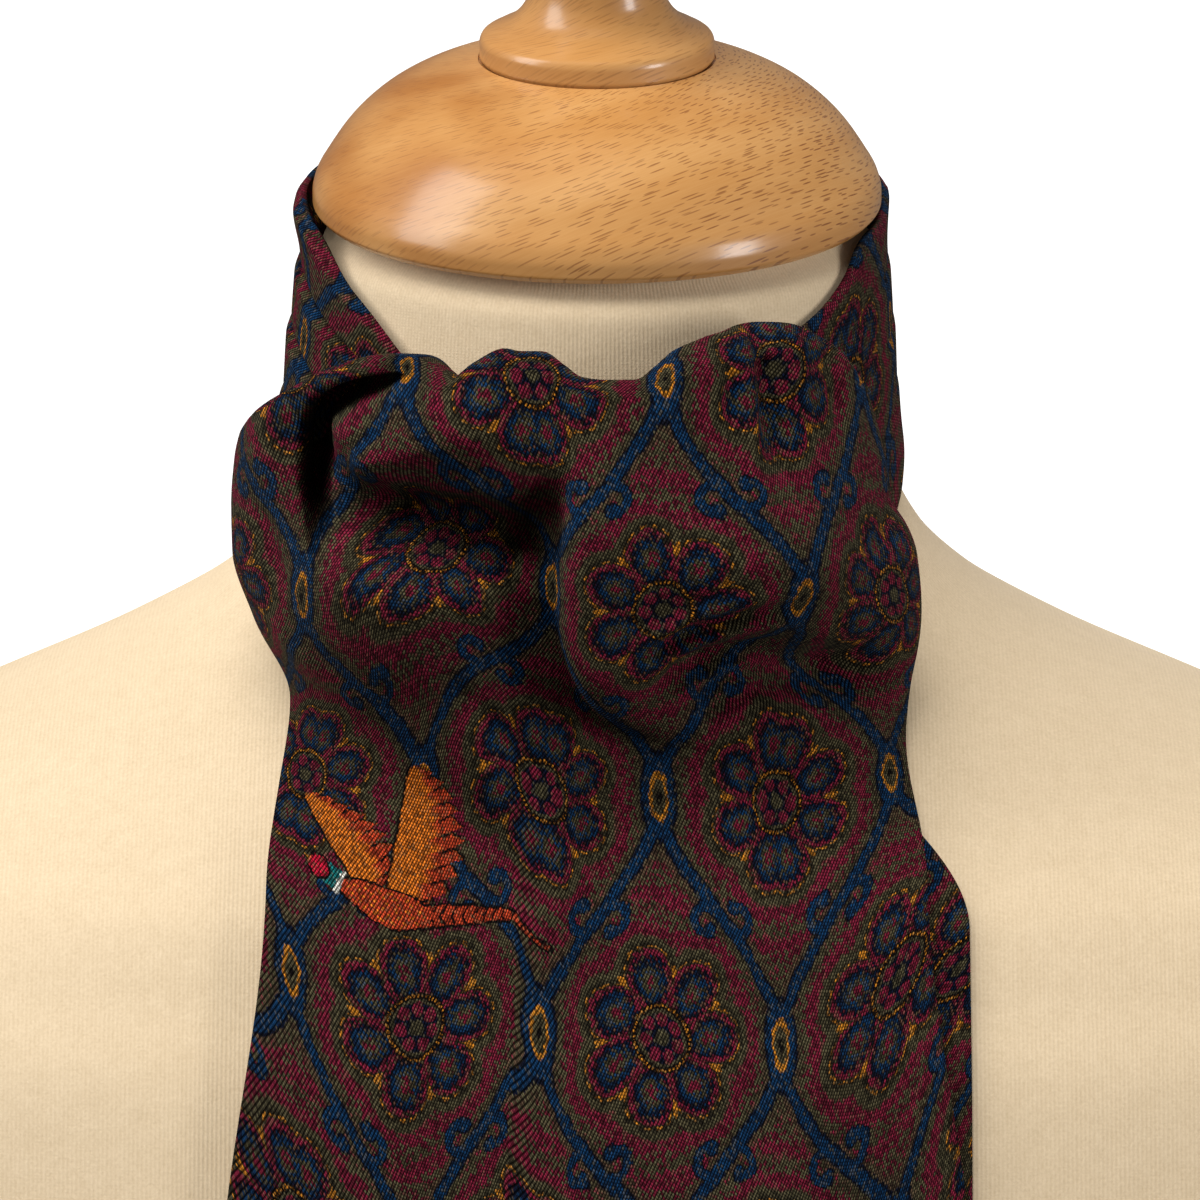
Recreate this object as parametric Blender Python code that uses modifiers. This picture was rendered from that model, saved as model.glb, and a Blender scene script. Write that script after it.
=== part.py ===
"""A day cravat worn on a limbless display bust with a turned wooden neck cap.

Frame: +Z up, X across the bust, -Y towards the front. The origin is the middle of the flat
underside that the bust stands on. The tables hold millimetres, and MM turns them into metres.

The cravat is two pointed blades and a pleated neckband. The blades cross at the throat, and the
longer one rises between the neck and the crossing, folds over it and falls down the front.
"""

import math
from functools import partial

import bmesh
import bpy
import numpy as np

MM = 0.001
CLOTH = 1.6  # the wall of a blade or band: two layers of twill and what lies between them
SEAM_GAP = 0.3
LAY_GAP = 0.45  # between a layer of cloth and what it lies on

# ---------------------------------------------------------------- the bust

# Rings from the flat base to the top of the neck. Each ring lies in a plane that leans forward.
RING_COLUMNS = ("level", "half_width", "front", "back", "lean_deg", "squareness")
RINGS = (
    (0, 140, -99, 95, 0, 2.30),
    (8, 144, -103, 99, 0, 2.30),
    (45, 147, -106, 101, 0, 2.35),
    (95, 156, -110, 105, 0, 2.40),
    (140, 168, -114, 108, 0, 2.45),
    (180, 181, -116, 110, 0, 2.50),
    (212, 193, -114, 111, 0, 2.50),
    (240, 200, -108, 111, 0, 2.45),
    (262, 201, -102, 109, 0, 2.40),
    (280, 196, -95, 106, 1, 2.30),
    (294, 184, -90, 102, 2, 2.20),
    (306, 162, -84, 97, 4, 2.15),
    (318, 132, -77.5, 90, 6, 2.10),
    (330, 102, -71, 82, 8, 2.05),
    (342, 79, -65, 74, 10, 2.00),
    (354, 66, -60.5, 67, 11, 2.00),
    (367, 59.5, -58.2, 61.5, 10, 2.00),
    (382, 57.2, -57.0, 58.2, 8, 2.00),
    (398, 56.2, -56.2, 56.8, 7, 2.00),
    (412, 55, -55, 55, 8.5, 2.00),
    (421, 54, -54, 54, 10, 2.00),
)
RING_POINTS = 48

# ---------------------------------------------------------------- the wooden cap

CAP_LEAN_DEG = 10.0
CAP_BOTTOM = 421.3  # level of the middle of its underside
CAP_COLUMNS = ("radius", "height")
CAP_DOME = (
    (0, 33.4),
    (12, 32.6),
    (22, 30.3),
    (32, 27.6),
    (41, 23.3),
    (48.5, 17.0),
    (53.6, 10.0),
    (55.7, 6.6),
    (56.4, 4.0),
)
CAP_RIM = (
    (56.0, 1.6),
    (54.8, 0),
    (0, 0),
)
KNOB_SEAT_DEPTH = 0.6  # how far the knob's flat foot is sunk into the cap
KNOB_COLUMNS = ("radius", "height")
KNOB_PROFILE = (
    (0, 49.0),
    (7.5, 48.2),
    (14.0, 45.4),
    (18.2, 40.6),
    (19.4, 35.4),
    (17.9, 30.2),
    (15.0, 25.0),
    (13.3, 20.6),
    (12.9, 16.8),
    (13.4, 13.4),
    (14.9, 10.4),
    (17.4, 8.0),
    (20.8, 6.2),
    (22.8, 4.9),
    (23.2, 3.6),
    (23.2, 0.8),
    (22.6, 0),
    (0, 0),
)
CAP_STEPS = 44
KNOB_STEPS = 32

# ---------------------------------------------------------------- the front blade

# The fall of the front blade, from above: half an ellipse that flattens onto the chest.
FALL_COLUMNS = ("z", "left", "right", "front", "middle", "left_turn_deg", "right_turn_deg")
FALL = (
    (160, 71, 71, -112, -40, 60, 60),
    (300, 65, 64, -94, -44, 60, 60),
    (318, 63, 61, -90, -45, 66, 66),
    (332, 61, 62.5, -89, -45, 74, 74),
    (346, 67, 63.8, -90, -43, 84, 80),
    (358, 71, 62.6, -90, -40, 91, 83),
    (367, 71.2, 59.0, -89, -39, 95, 85),
    (376, 70.4, 56.2, -87, -38, 98, 87),
    (386, 67, 54.0, -84, -37, 100, 88),
    (400, 63, 52.0, -79, -36, 101, 88),
)
LAID_FROM, LAID_BY = 342.0, 300.0  # heights between which the fall settles on the chest
BLADE_HALF_WIDTH = 71.0  # of the flat blade where it is widest
BLADE_HIGH_HALF_WIDTH = 63.0  # where it settles on the chest
BLADE_TIP = 158.0
POINT_SLOPE = 0.92  # rise of the pointed end's edges for each unit of width

# The upper edge of the fall, by its share of the way round to each side edge: gathered lobes
# with a low place between them.
CREST_COLUMNS = ("share", "height", "front_roll", "back_roll", "drop")
CREST = (
    (-1.00, 377.0, 4.4, 4.2, 4.8),
    (-0.90, 383.0, 4.4, 4.2, 4.8),
    (-0.80, 386.0, 4.4, 4.4, 4.8),
    (-0.69, 389.5, 4.4, 5.0, 4.8),
    (-0.58, 394.0, 4.6, 8.0, 4.8),
    (-0.50, 397.5, 5.0, 12.0, 5.0),
    (-0.41, 399.5, 5.4, 13.0, 5.4),
    (-0.34, 399.5, 5.4, 12.0, 5.4),
    (-0.28, 397.5, 5.0, 8.0, 5.0),
    (-0.25, 396.5, 4.2, 5.6, 4.4),
    (-0.22, 399.0, 5.2, 5.0, 5.0),
    (-0.17, 401.5, 6.2, 5.0, 5.8),
    (-0.14, 401.0, 6.4, 5.0, 6.0),
    (-0.10, 401.0, 6.4, 5.0, 6.0),
    (-0.06, 398.5, 6.0, 4.8, 5.6),
    (-0.03, 396.5, 5.2, 4.4, 5.0),
    (0.02, 396.0, 4.8, 4.4, 4.6),
    (0.10, 396.0, 5.0, 4.6, 4.8),
    (0.15, 398.0, 6.2, 5.2, 5.6),
    (0.22, 401.0, 8.2, 6.2, 7.0),
    (0.30, 402.5, 9.6, 7.0, 8.4),
    (0.40, 404.0, 9.8, 7.2, 8.8),
    (0.50, 405.0, 9.6, 6.8, 8.6),
    (0.60, 404.5, 8.2, 5.8, 7.6),
    (0.72, 401.5, 6.6, 4.8, 6.2),
    (0.86, 394.5, 5.4, 4.6, 5.4),
    (1.00, 384.0, 5.0, 4.4, 5.2),
)
ROLL_END_DEG = 24.0  # the roll runs on from the back, over the crest, to this far above level
RISE_TUCK = 4.5  # how far the sides of the sheet reach down behind the crest
THROAT_LEVEL = 362.0  # the lowest height of the tongue that rises behind the crossing
THROAT_GATHER = 0.62  # width of the tongue as a share of its width at the crest
TONGUE_SHARE = (0.10, 0.50)  # shares between which the tongue gives way to the short tuck

# Folds of the fall. A fold runs along a curve through three or four (across, height) places. It
# stands proud by "rise" or is sunk by a negative one, and "over" and "under" are its half widths
# on the two sides: over is to the left of its direction of travel.
FOLD_COLUMNS = ("rise", "over", "under", "fade_in", "fade_out", "route")
FOLDS = (
    # the slit and the deep dimple under the left-hand lobe
    (-10.0, 3.0, 3.4, 0.30, 0.30, ((-28, 394), (-37, 392.5), (-45, 389.5), (-50, 384))),
    (-17.0, 3.8, 4.8, 0.40, 0.36, ((-41, 389), (-47.5, 386), (-51, 379.5), (-51.5, 373), (-49, 366))),
    # the roll over the dimple and the shoulder left of it
    (3.4, 5.0, 5.0, 0.25, 0.4, ((-38, 397), (-47, 395), (-56, 390), (-62, 382), (-63, 366))),
    # the upper lobe between the dimple and the middle, and the hollow under it
    (7.0, 8.0, 11.0, 0.3, 0.35, ((-45, 385), (-34, 388), (-20, 388), (-8, 383))),
    (-9.0, 5.6, 7.0, 0.25, 0.3, ((-50, 371), (-37, 371.5), (-25, 370), (-15, 366.5), (-9, 357))),
    # the lower left bulge
    (5.6, 13.0, 14.0, 0.5, 0.5, ((-65, 361), (-50, 357), (-33, 353), (-18, 344))),
    # the crease down the middle and the cloth that stands forward on its right
    (-6.4, 3.2, 7.5, 0.2, 0.3, ((-4.5, 381), (-8, 368), (-9, 352), (-3, 334), (8, 327), (22, 325))),
    (3.4, 11.0, 3.6, 0.25, 0.4, ((0.5, 384), (-1.5, 366), (-1.5, 350), (3, 336), (12, 331))),
    # the broad bulge right of the middle and the dark fold below it
    (6.0, 15.0, 9.0, 0.5, 0.4, ((4, 368), (22, 363), (40, 361), (55, 359))),
    (-12.0, 6.6, 9.0, 0.34, 0.2, ((8, 334), (20, 340.5), (32, 341.5), (46, 339.5), (62, 338))),
    # the ridge and hollow that lead down from the puff
    (5.0, 8.0, 6.0, 0.3, 0.4, ((-30, 337), (-20, 322), (-8, 308), (-2, 292), (0, 272))),
    (-4.6, 6.0, 7.0, 0.3, 0.4, ((2, 322), (8, 308), (17, 292), (22, 272))),
    (3.6, 6.0, 7.0, 0.4, 0.4, ((18, 326), (26, 311), (33, 294), (36, 272))),
    # the pinch in the right-hand lobe
    (-3.6, 2.8, 3.2, 0.15, 0.5, ((32, 401), (33.5, 394), (34, 384), (37, 372))),
    # long soft folds of the hanging end
    (3.2, 9.0, 11.0, 0.4, 0.35, ((-46, 322), (-44, 280), (-40, 235), (-34, 190))),
    (3.6, 10.0, 9.0, 0.4, 0.35, ((40, 320), (40, 275), (36, 230), (26, 186))),
    (2.4, 8.0, 9.0, 0.4, 0.4, ((-8, 280), (-4, 245), (-2, 205), (0, 172))),
)
FOLD_STEPS = 14  # places along a fold's curve that distances are measured to

# The blade's grid is closer together round each of these (place, width, weight), where 0 and 1
# are its left and right edges, or its root and its tip.
BLADE_COLUMNS, BLADE_ROWS = 38, 48
CROWDED_COLUMNS = ((0.27, 0.07, 1.8), (0.37, 0.04, 0.8), (0.46, 0.05, 1.2), (0.74, 0.05, 0.6))
CROWDED_ROWS = ((0.20, 0.09, 1.8), (0.40, 0.16, 0.9))

# ---------------------------------------------------------------- the neckband and the crossing

# Round the neck from the front (0 degrees) to the back (180). top and bottom are ring levels, the
# two offsets are how far the band's inner side lies off the neck at its edges, and flare is how
# far its upper edge leans out round the cap.
BAND_COLUMNS = ("angle_deg", "top", "bottom", "top_off", "bottom_off", "fullness", "flare")
LEFT_BAND = (
    (30, 391.8, 353.0, 0.8, 0.8, 0.6, 0.0),
    (41, 402.3, 356.0, 0.7, 1.6, 0.8, 0.0),
    (51, 409.4, 360.0, 0.6, 3.0, 1.0, 0.0),
    (59, 413.2, 363.0, 0.6, 4.4, 1.2, 0.0),
    (67, 417.2, 366.0, 0.6, 4.8, 1.3, 0.2),
    (73, 420.0, 368.5, 0.6, 4.8, 1.3, 1.0),
    (82, 422.4, 372.5, 0.6, 4.2, 1.2, 2.0),
    (92, 424.0, 376.5, 0.6, 2.6, 1.0, 2.4),
    (102, 424.0, 380.0, 0.6, 1.4, 1.0, 2.4),
    (115, 424.0, 383.0, 0.6, 0.8, 1.0, 2.4),
)
RIGHT_BAND = (
    (30, 394.8, 353.0, 0.8, 0.8, 0.5, 0.0),
    (41, 405.6, 356.0, 0.7, 0.9, 0.5, 0.0),
    (51, 410.0, 360.0, 0.6, 1.0, 0.5, 0.0),
    (60, 414.6, 361.5, 0.5, 1.0, 0.5, 0.0),
    (66, 418.6, 363.0, 0.4, 1.0, 0.5, 0.0),
    (71, 419.9, 365.0, 0.4, 1.0, 0.5, 0.0),
    (82, 420.0, 369.5, 0.4, 1.0, 0.6, 0.2),
    (92, 420.6, 374.0, 0.4, 1.0, 0.8, 0.9),
    (102, 422.6, 378.5, 0.5, 0.8, 1.0, 2.0),
    (115, 424.0, 383.0, 0.6, 0.8, 1.0, 2.4),
)
BACK_BAND = (
    (115, 424.0, 383.0, 0.6, 0.8, 1.0, 2.4),
    (135, 424.0, 385.0, 0.6, 0.8, 1.0, 2.4),
    (160, 424.0, 386.5, 0.6, 0.8, 1.0, 2.4),
    (180, 424.0, 387.0, 0.6, 0.8, 1.0, 2.4),
)
FLARE_FROM, FLARE_BY = 412.0, 421.4  # levels between which the band leans out past the cap
BAND_SPLIT_DEG = 115.0  # where the stretch round the nape begins
SPLIT_GAP_DEG = 0.6

# Pleats along the band, as shares of its width from the top: where each tuck's edge lies, and how
# proud it stands before the band's own fullness scales it.
PLEAT_COLUMNS = ("edge", "proud")
PLEATS = (
    (0.00, 1.4),
    (0.22, 1.3),
    (0.46, 1.2),
    (0.73, 1.1),
    (1.00, 0.0),
)
PLEAT_HOLLOW = 0.24  # share of a pleat's width that its groove takes
PLEAT_ROWS = (0.0, 0.10, 0.22, 0.55, 0.88)  # shares of a pleat's width with a row of vertices

CROSSING_COLUMNS = ("angle_deg", "top", "bottom")
CROSSING = (
    (-41, 370.0, 343.0),
    (-16, 370.0, 344.0),
    (8, 371.0, 345.0),
    (41, 374.0, 347.0),
)
CROSSING_STAND_OFF = 4.3
CROSSING_FOLDS = 3
CROSSING_FOLD_RISE = 1.3

UNDER_TOP = 342.0
UNDER_TIP = 176.0
UNDER_SHIFT = 5.0  # the under blade hangs a little to the right of the front one
UNDER_HALF_WIDTH = 66.0
UNDER_HIGH_HALF_WIDTH = 30.0
UNDER_WIDENS = (345.0, 292.0)
UNDER_COLUMNS, UNDER_ROWS = 11, 17
BAND_STEPS, NAPE_STEPS, CROSSING_STEPS, CROSSING_ROWS = 16, 19, 12, 9

COLOURS = {
    "cloth": (0.055, 0.016, 0.022, 1.0),
    "jersey": (0.76, 0.66, 0.49, 1.0),
    "wood": (0.60, 0.29, 0.09, 1.0),
}


def table(columns, rows):
    """The rows of a table as a dictionary of arrays, one for each named column."""
    return {name: np.array([row[i] for row in rows], float) for i, name in enumerate(columns)}


def smooth(share):
    share = np.clip(share, 0.0, 1.0)
    return share * share * (3.0 - 2.0 * share)


def between(low, high, value):
    """0 at low, 1 at high, smooth between."""
    return smooth((value - low) / (high - low))


def through(places, values, at):
    """A smooth curve through the values that never overshoots them."""
    places, values = np.asarray(places, float), np.asarray(values, float)
    step = np.diff(places)
    slope = np.diff(values) / step
    left, right = slope[:-1], slope[1:]
    weight_left = 2 * step[1:] + step[:-1]
    weight_right = step[1:] + 2 * step[:-1]
    same = left * right > 0
    safe_left = np.where(same, left, 1.0)
    safe_right = np.where(same, right, 1.0)
    inner = (weight_left + weight_right) / (weight_left / safe_left + weight_right / safe_right)
    tangent = np.concatenate([[slope[0]], np.where(same, inner, 0.0), [slope[-1]]])
    at = np.clip(at, places[0], places[-1])
    i = np.clip(np.searchsorted(places, at, side="right") - 1, 0, len(step) - 1)
    t = (at - places[i]) / step[i]
    return (
        values[i] * (1 + 2 * t) * (1 - t) ** 2
        + tangent[i] * step[i] * t * (1 - t) ** 2
        + values[i + 1] * t * t * (3 - 2 * t)
        + tangent[i + 1] * step[i] * t * t * (t - 1)
    )


# ---------------------------------------------------------------- the bust's surface


def ring_at(level):
    rings = table(RING_COLUMNS, RINGS)
    return {name: through(rings["level"], rings[name], level) for name in RING_COLUMNS[1:]}


def bust_point(angle, level):
    """The bust's surface at an angle from the front, towards +X, on the ring at that level."""
    ring = ring_at(level)
    middle = (ring["front"] + ring["back"]) / 2
    depth = (ring["back"] - ring["front"]) / 2
    sine, cosine, power = np.sin(angle), np.cos(angle), 2 / ring["squareness"]
    x = ring["half_width"] * np.sign(sine) * np.abs(sine) ** power
    y = middle - depth * np.sign(cosine) * np.abs(cosine) ** power
    z = level + (y - middle) * np.tan(np.radians(ring["lean_deg"]))
    return np.stack([x, y, z], axis=-1)


def bust_normal(angle, level):
    """The outward normal there, from two short steps along the surface."""
    step = 1e-3
    round_it = bust_point(angle + step, level) - bust_point(angle - step, level)
    up = bust_point(angle, level + step) - bust_point(angle, level - step)
    normal = np.cross(round_it, up)
    return normal / np.linalg.norm(normal, axis=-1, keepdims=True)


def chest_front(x, z):
    """y of the bust's front at a place across and a height."""
    level = np.array(z, float)
    for _ in range(8):
        ring = ring_at(level)
        middle = (ring["front"] + ring["back"]) / 2
        depth = (ring["back"] - ring["front"]) / 2
        share = np.clip(np.abs(x) / ring["half_width"], 0, 0.999)
        y = middle - depth * (1 - share ** ring["squareness"]) ** (1 / ring["squareness"])
        level = z - (y - middle) * np.tan(np.radians(ring["lean_deg"]))
    return y


def lying(x, z, lift):
    """y of a surface that lies over the bust's front, lift away from it along its normal."""
    step = 0.5
    slope_x = (chest_front(x + step, z) - chest_front(x - step, z)) / (2 * step)
    slope_z = (chest_front(x, z + step) - chest_front(x, z - step)) / (2 * step)
    return chest_front(x, z) - lift * np.sqrt(1 + slope_x**2 + slope_z**2)


# ---------------------------------------------------------------- the front blade's surface


def route_points(route):
    """Places along a smooth curve through a fold's named places."""
    route = np.array(route, float)
    along = np.linspace(0, len(route) - 1, FOLD_STEPS)
    knots = np.arange(len(route))
    return np.stack([through(knots, route[:, k], along) for k in range(2)], axis=-1)


def fold_rise(across, height):
    """How far the folds lift the cloth off its plain shape at each place."""
    total = np.zeros_like(across)
    here = np.stack([across, height], axis=-1)
    for rise, over, under, fade_in, fade_out, route in FOLDS:
        line = route_points(route)
        nearest = np.full(across.shape, np.inf)
        share = np.zeros_like(across)
        side = np.zeros_like(across)
        for i in range(len(line) - 1):
            step = line[i + 1] - line[i]
            offset = here - line[i]
            t = np.clip((offset @ step) / (step @ step), 0, 1)
            away = offset - t[..., None] * step
            distance = np.hypot(away[..., 0], away[..., 1])
            closer = distance < nearest
            nearest = np.where(closer, distance, nearest)
            share = np.where(closer, (i + t) / (len(line) - 1), share)
            side = np.where(closer, step[0] * offset[..., 1] - step[1] * offset[..., 0], side)
        width = under + (over - under) * between(-over, over, np.sign(side) * nearest)
        fade = between(0, fade_in, share) * between(0, fade_out, 1 - share)
        total += rise * fade * np.exp(-((nearest / width) ** 2))
    return total


def fall_plan(share, height):
    """The fall seen from above at a height: x, y and the outward direction. share runs -1 to 1."""
    fall = table(FALL_COLUMNS, FALL)
    left, right, front, middle, left_turn, right_turn = (
        through(fall["z"], fall[name], height) for name in FALL_COLUMNS[1:]
    )
    on_left = between(0.12, -0.12, share)
    angle = share * np.radians(right_turn + (left_turn - right_turn) * on_left)
    half = right + (left - right) * on_left
    depth = middle - front
    x = half * np.sin(angle)
    y = middle - depth * np.cos(angle)
    out_x, out_y = depth * np.sin(angle), -half * np.cos(angle)
    long = np.hypot(out_x, out_y)
    return x, y, out_x / long, out_y / long


def laid_plan(share, height):
    """The blade lying on the chest at a height, over the under blade."""
    high = between(LAID_BY, 225.0, height)
    half = BLADE_HIGH_HALF_WIDTH + (BLADE_HALF_WIDTH - BLADE_HIGH_HALF_WIDTH) * high
    x = half * share
    return x, lying(x, height, 2 * (CLOTH + LAY_GAP))


def crest_at(share):
    """The crest's height and rolls, looked up by how far round the fall it is."""
    crest = table(CREST_COLUMNS, CREST)
    return [through(crest["share"], crest[name], share) for name in CREST_COLUMNS[1:]]


def fall_point(share, height, fold_share=1.0):
    """A point on the fall's outer side."""
    x, y, out_x, out_y = fall_plan(share, height)
    laid_x, laid_y = laid_plan(share, height)
    laid = between(LAID_FROM, LAID_BY, height)
    x = x + (laid_x - x) * laid
    y = y + (laid_y - y) * laid
    out_x = out_x * (1 - laid)
    out_y = out_y * (1 - laid) - laid
    long = np.hypot(out_x, out_y)
    out_x, out_y = out_x / long, out_y / long
    rise = fold_rise(x, height) * fold_share
    rise = np.where(rise < 0, rise * (1 - laid), rise)
    y_out = y + out_y * rise
    # Nothing of the fall reaches into the layers under it.
    floor = lying(x, np.minimum(height, 330.0), 2 * (CLOTH + LAY_GAP))
    y_out = np.where(height < 330.0, np.minimum(y_out, floor), y_out)
    return np.stack([x + out_x * rise, y_out, height], axis=-1), out_x, out_y


RISE_SHARE, ROLL_SHARE = 0.12, 0.27  # shares of the sheet's rows: the rise, then the roll


def front_blade_surface(share, along):
    """The front blade's outer side. along runs from the throat, over the crest, to the tip."""
    height, front_roll, back_roll, drop = crest_at(share)
    end = math.radians(ROLL_END_DEG)
    start_z = height - drop * (1 - math.sin(end))
    start, out_x, out_y = fall_point(share, start_z)
    plain, _, _ = fall_point(share, start_z, 0.0)
    out = np.stack([out_x, out_y, np.zeros_like(out_x)], axis=-1)
    crest = plain - out * (front_roll * math.cos(end))[..., None]

    # the roll, from the back over the crest to the front
    t = np.clip((along - RISE_SHARE) / (ROLL_SHARE - RISE_SHARE), 0, 1)
    angle = math.pi + (end - math.pi) * t
    reach = np.where(np.cos(angle) > 0, front_roll, back_roll) * np.cos(angle)
    roll = crest + out * reach[..., None]
    roll[..., 2] = height - drop + drop * np.sin(angle)
    roll = roll + (start - plain) * between(0.15, 1.0, t)[..., None]

    # the rise behind it: a tongue down to the throat in the middle, a short tuck at the sides
    back = crest - out * back_roll[..., None]
    back[..., 2] = height - drop
    tongue = 1 - between(*TONGUE_SHARE, np.abs(share))
    root = back - np.array([0, 0, RISE_TUCK])
    root[..., 0] *= 1 - (1 - THROAT_GATHER) * tongue
    root[..., 2] += (THROAT_LEVEL - root[..., 2]) * tongue
    neck_y = lying(root[..., 0], root[..., 2], CLOTH + LAY_GAP)
    root[..., 1] += np.maximum(neck_y - root[..., 1], 0) * tongue
    t = np.clip(1 - along / RISE_SHARE, 0, 1)[..., None]
    handle = (back[..., 2] - root[..., 2])[..., None] * np.array([0, 0, 1.0])
    rise = (
        back * (1 - t) ** 3
        + 3 * (back - handle * 0.3) * t * (1 - t) ** 2
        + 3 * (root + handle * 0.6) * t * t * (1 - t)
        + root * t**3
    )

    # the fall, down to the pointed end
    edge = np.abs(laid_plan(share, np.full_like(share, 200.0))[0])
    end_z = BLADE_TIP + POINT_SLOPE * np.sqrt(edge**2 + 9.0)
    t = np.clip((along - ROLL_SHARE) / (1 - ROLL_SHARE), 0, 1)
    fall, _, _ = fall_point(share, start_z + (end_z - start_z) * t)

    on_rise = (along < RISE_SHARE)[..., None]
    on_roll = (along < ROLL_SHARE)[..., None]
    return np.where(on_rise, rise, np.where(on_roll, roll, fall))


# ---------------------------------------------------------------- the other cloth surfaces


def pleat_rise(share):
    """How proud the pleats stand at a share of the band's width."""
    pleats = table(PLEAT_COLUMNS, PLEATS)
    rise = np.zeros_like(share)
    for low, high, proud in zip(pleats["edge"], pleats["edge"][1:], pleats["proud"]):
        t = np.clip((share - low) / (high - low), 0, 1)
        crown = between(0, PLEAT_HOLLOW, t) * (1 - 0.45 * t) * between(0, PLEAT_HOLLOW / 2, 1 - t)
        rise += proud * crown * ((share >= low) & (share < high))
    return rise


def band_surface(rows, angle, share):
    """The neckband's outer side. share runs from its upper edge to its lower one."""
    band = table(BAND_COLUMNS, rows)
    top, bottom, top_off, bottom_off, fullness, flare = (
        through(band["angle_deg"], band[name], np.abs(np.degrees(angle)))
        for name in BAND_COLUMNS[1:]
    )
    level = top + (bottom - top) * share
    lift = CLOTH + top_off + (bottom_off - top_off) * share + pleat_rise(share) * fullness
    lift = lift + flare * between(FLARE_FROM, FLARE_BY, level)
    # Above the neck's last ring its wall is carried straight on.
    held = np.minimum(level, RINGS[-1][0])
    point = bust_point(angle, held) + bust_normal(angle, held) * lift[..., None]
    point[..., 2] += level - held
    return point


def crossing_surface(angle, share):
    """The stretch that crosses the throat under the fall."""
    crossing = table(CROSSING_COLUMNS, CROSSING)
    degrees = np.degrees(angle)
    top, bottom = (
        through(crossing["angle_deg"], crossing[name], degrees) for name in ("top", "bottom")
    )
    level = top + (bottom - top) * share
    folds = CROSSING_FOLD_RISE * np.sin(np.pi * CROSSING_FOLDS * share) ** 2
    lift = CLOTH + CROSSING_STAND_OFF + folds
    return bust_point(angle, level) + bust_normal(angle, level) * lift[..., None]


def under_blade_surface(share, along):
    """The under blade, from beneath the crossing to its point, lying on the chest."""
    end_half = UNDER_HALF_WIDTH * np.abs(share)
    end_z = UNDER_TIP + POINT_SLOPE * np.sqrt(end_half**2 + 9.0)
    height = UNDER_TOP + (end_z - UNDER_TOP) * along
    wide = between(*UNDER_WIDENS, height)
    half = UNDER_HIGH_HALF_WIDTH + (UNDER_HALF_WIDTH - UNDER_HIGH_HALF_WIDTH) * wide
    x = half * share + UNDER_SHIFT * wide
    return np.stack([x, lying(x, height, CLOTH + LAY_GAP), height], axis=-1)


# ---------------------------------------------------------------- making the pieces


def material(name, colour, roughness):
    made = bpy.data.materials.new(name)
    made.use_nodes = True
    shader = made.node_tree.nodes["Principled BSDF"]
    shader.inputs["Base Color"].default_value = colour
    shader.inputs["Roughness"].default_value = roughness
    shader.inputs["Metallic"].default_value = 0.0
    return made


def add(name, form, collection, finish):
    """Turns a bmesh in millimetres into a named object in metres."""
    bmesh.ops.scale(form, vec=(MM, MM, MM), verts=form.verts)
    mesh = bpy.data.meshes.new(name)
    form.to_mesh(mesh)
    form.free()
    made = bpy.data.objects.new(name, mesh)
    mesh.materials.append(finish)
    mesh.shade_smooth()
    collection.objects.link(made)
    return made


def spaced(count, crowded):
    """count shares from 0 to 1, closer together round each crowded (place, width, weight)."""
    fine = np.linspace(0, 1, 2001)
    density = np.ones_like(fine)
    for place, width, weight in crowded:
        density += weight * np.exp(-(((fine - place) / width) ** 2))
    total = np.concatenate([[0], np.cumsum((density[1:] + density[:-1]) / 2)])
    return np.interp(np.linspace(0, total[-1], count), total, fine)


def sheet(name, surface, across, along, collection, finish, thickness=CLOTH):
    """A wall of cloth: a grid laid on a surface, given its thickness inwards."""
    columns, rows = len(across), len(along)
    form = bmesh.new()
    bmesh.ops.create_grid(form, x_segments=columns - 1, y_segments=rows - 1, size=1.0)
    form.verts.ensure_lookup_table()
    flat = np.array([vert.co[:2] for vert in form.verts])
    column = np.rint((flat[:, 0] + 1) / 2 * (columns - 1)).astype(int)
    row = np.rint((flat[:, 1] + 1) / 2 * (rows - 1)).astype(int)
    points = surface(np.asarray(across)[column], np.asarray(along)[row])
    for vert, point in zip(form.verts, points):
        vert.co = point
    bmesh.ops.triangulate(form, faces=form.faces, quad_method="SHORT_EDGE")
    made = add(name, form, collection, finish)
    shell = made.modifiers.new("wall", "SOLIDIFY")
    shell.thickness = thickness * MM
    shell.offset = 1.0
    shell.use_quality_normals = True
    return made


def bust(collection, finish):
    """Rings of points bridged from the base to the neck, closed by flat ends."""
    form = bmesh.new()
    loops = []
    for level in (row[0] for row in RINGS):
        angles = np.arange(RING_POINTS) * 2 * math.pi / RING_POINTS
        points = bust_point(angles, np.full(RING_POINTS, float(level)))
        verts = [form.verts.new(point) for point in points]
        loops.append([form.edges.new((verts[i - 1], verts[i])) for i in range(RING_POINTS)])
    for low, high in zip(loops, loops[1:]):
        bmesh.ops.bridge_loops(form, edges=low + high)
    bmesh.ops.holes_fill(form, edges=form.edges, sides=0)
    bmesh.ops.recalc_face_normals(form, faces=form.faces)
    made = add("bust_form", form, collection, finish)
    made.data.set_sharp_from_angle(angle=math.radians(40))
    return made


def turned(name, profile, steps, base, collection, finish):
    """A profile spun round its axis, standing on the leaning top of the neck."""
    form = bmesh.new()
    verts = [form.verts.new((radius, 0, height)) for radius, height in profile]
    for low, high in zip(verts, verts[1:]):
        form.edges.new((low, high))
    made = add(name, form, collection, finish)
    spin = made.modifiers.new("turn", "SCREW")
    spin.axis = "Z"
    spin.steps = spin.render_steps = steps
    spin.use_merge_vertices = True
    spin.merge_threshold = 0.00001
    made.rotation_euler = (math.radians(CAP_LEAN_DEG), 0, 0)
    lean = math.radians(CAP_LEAN_DEG)
    made.location = (0, -base * math.sin(lean) * MM, (CAP_BOTTOM + base * math.cos(lean)) * MM)
    return made


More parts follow.
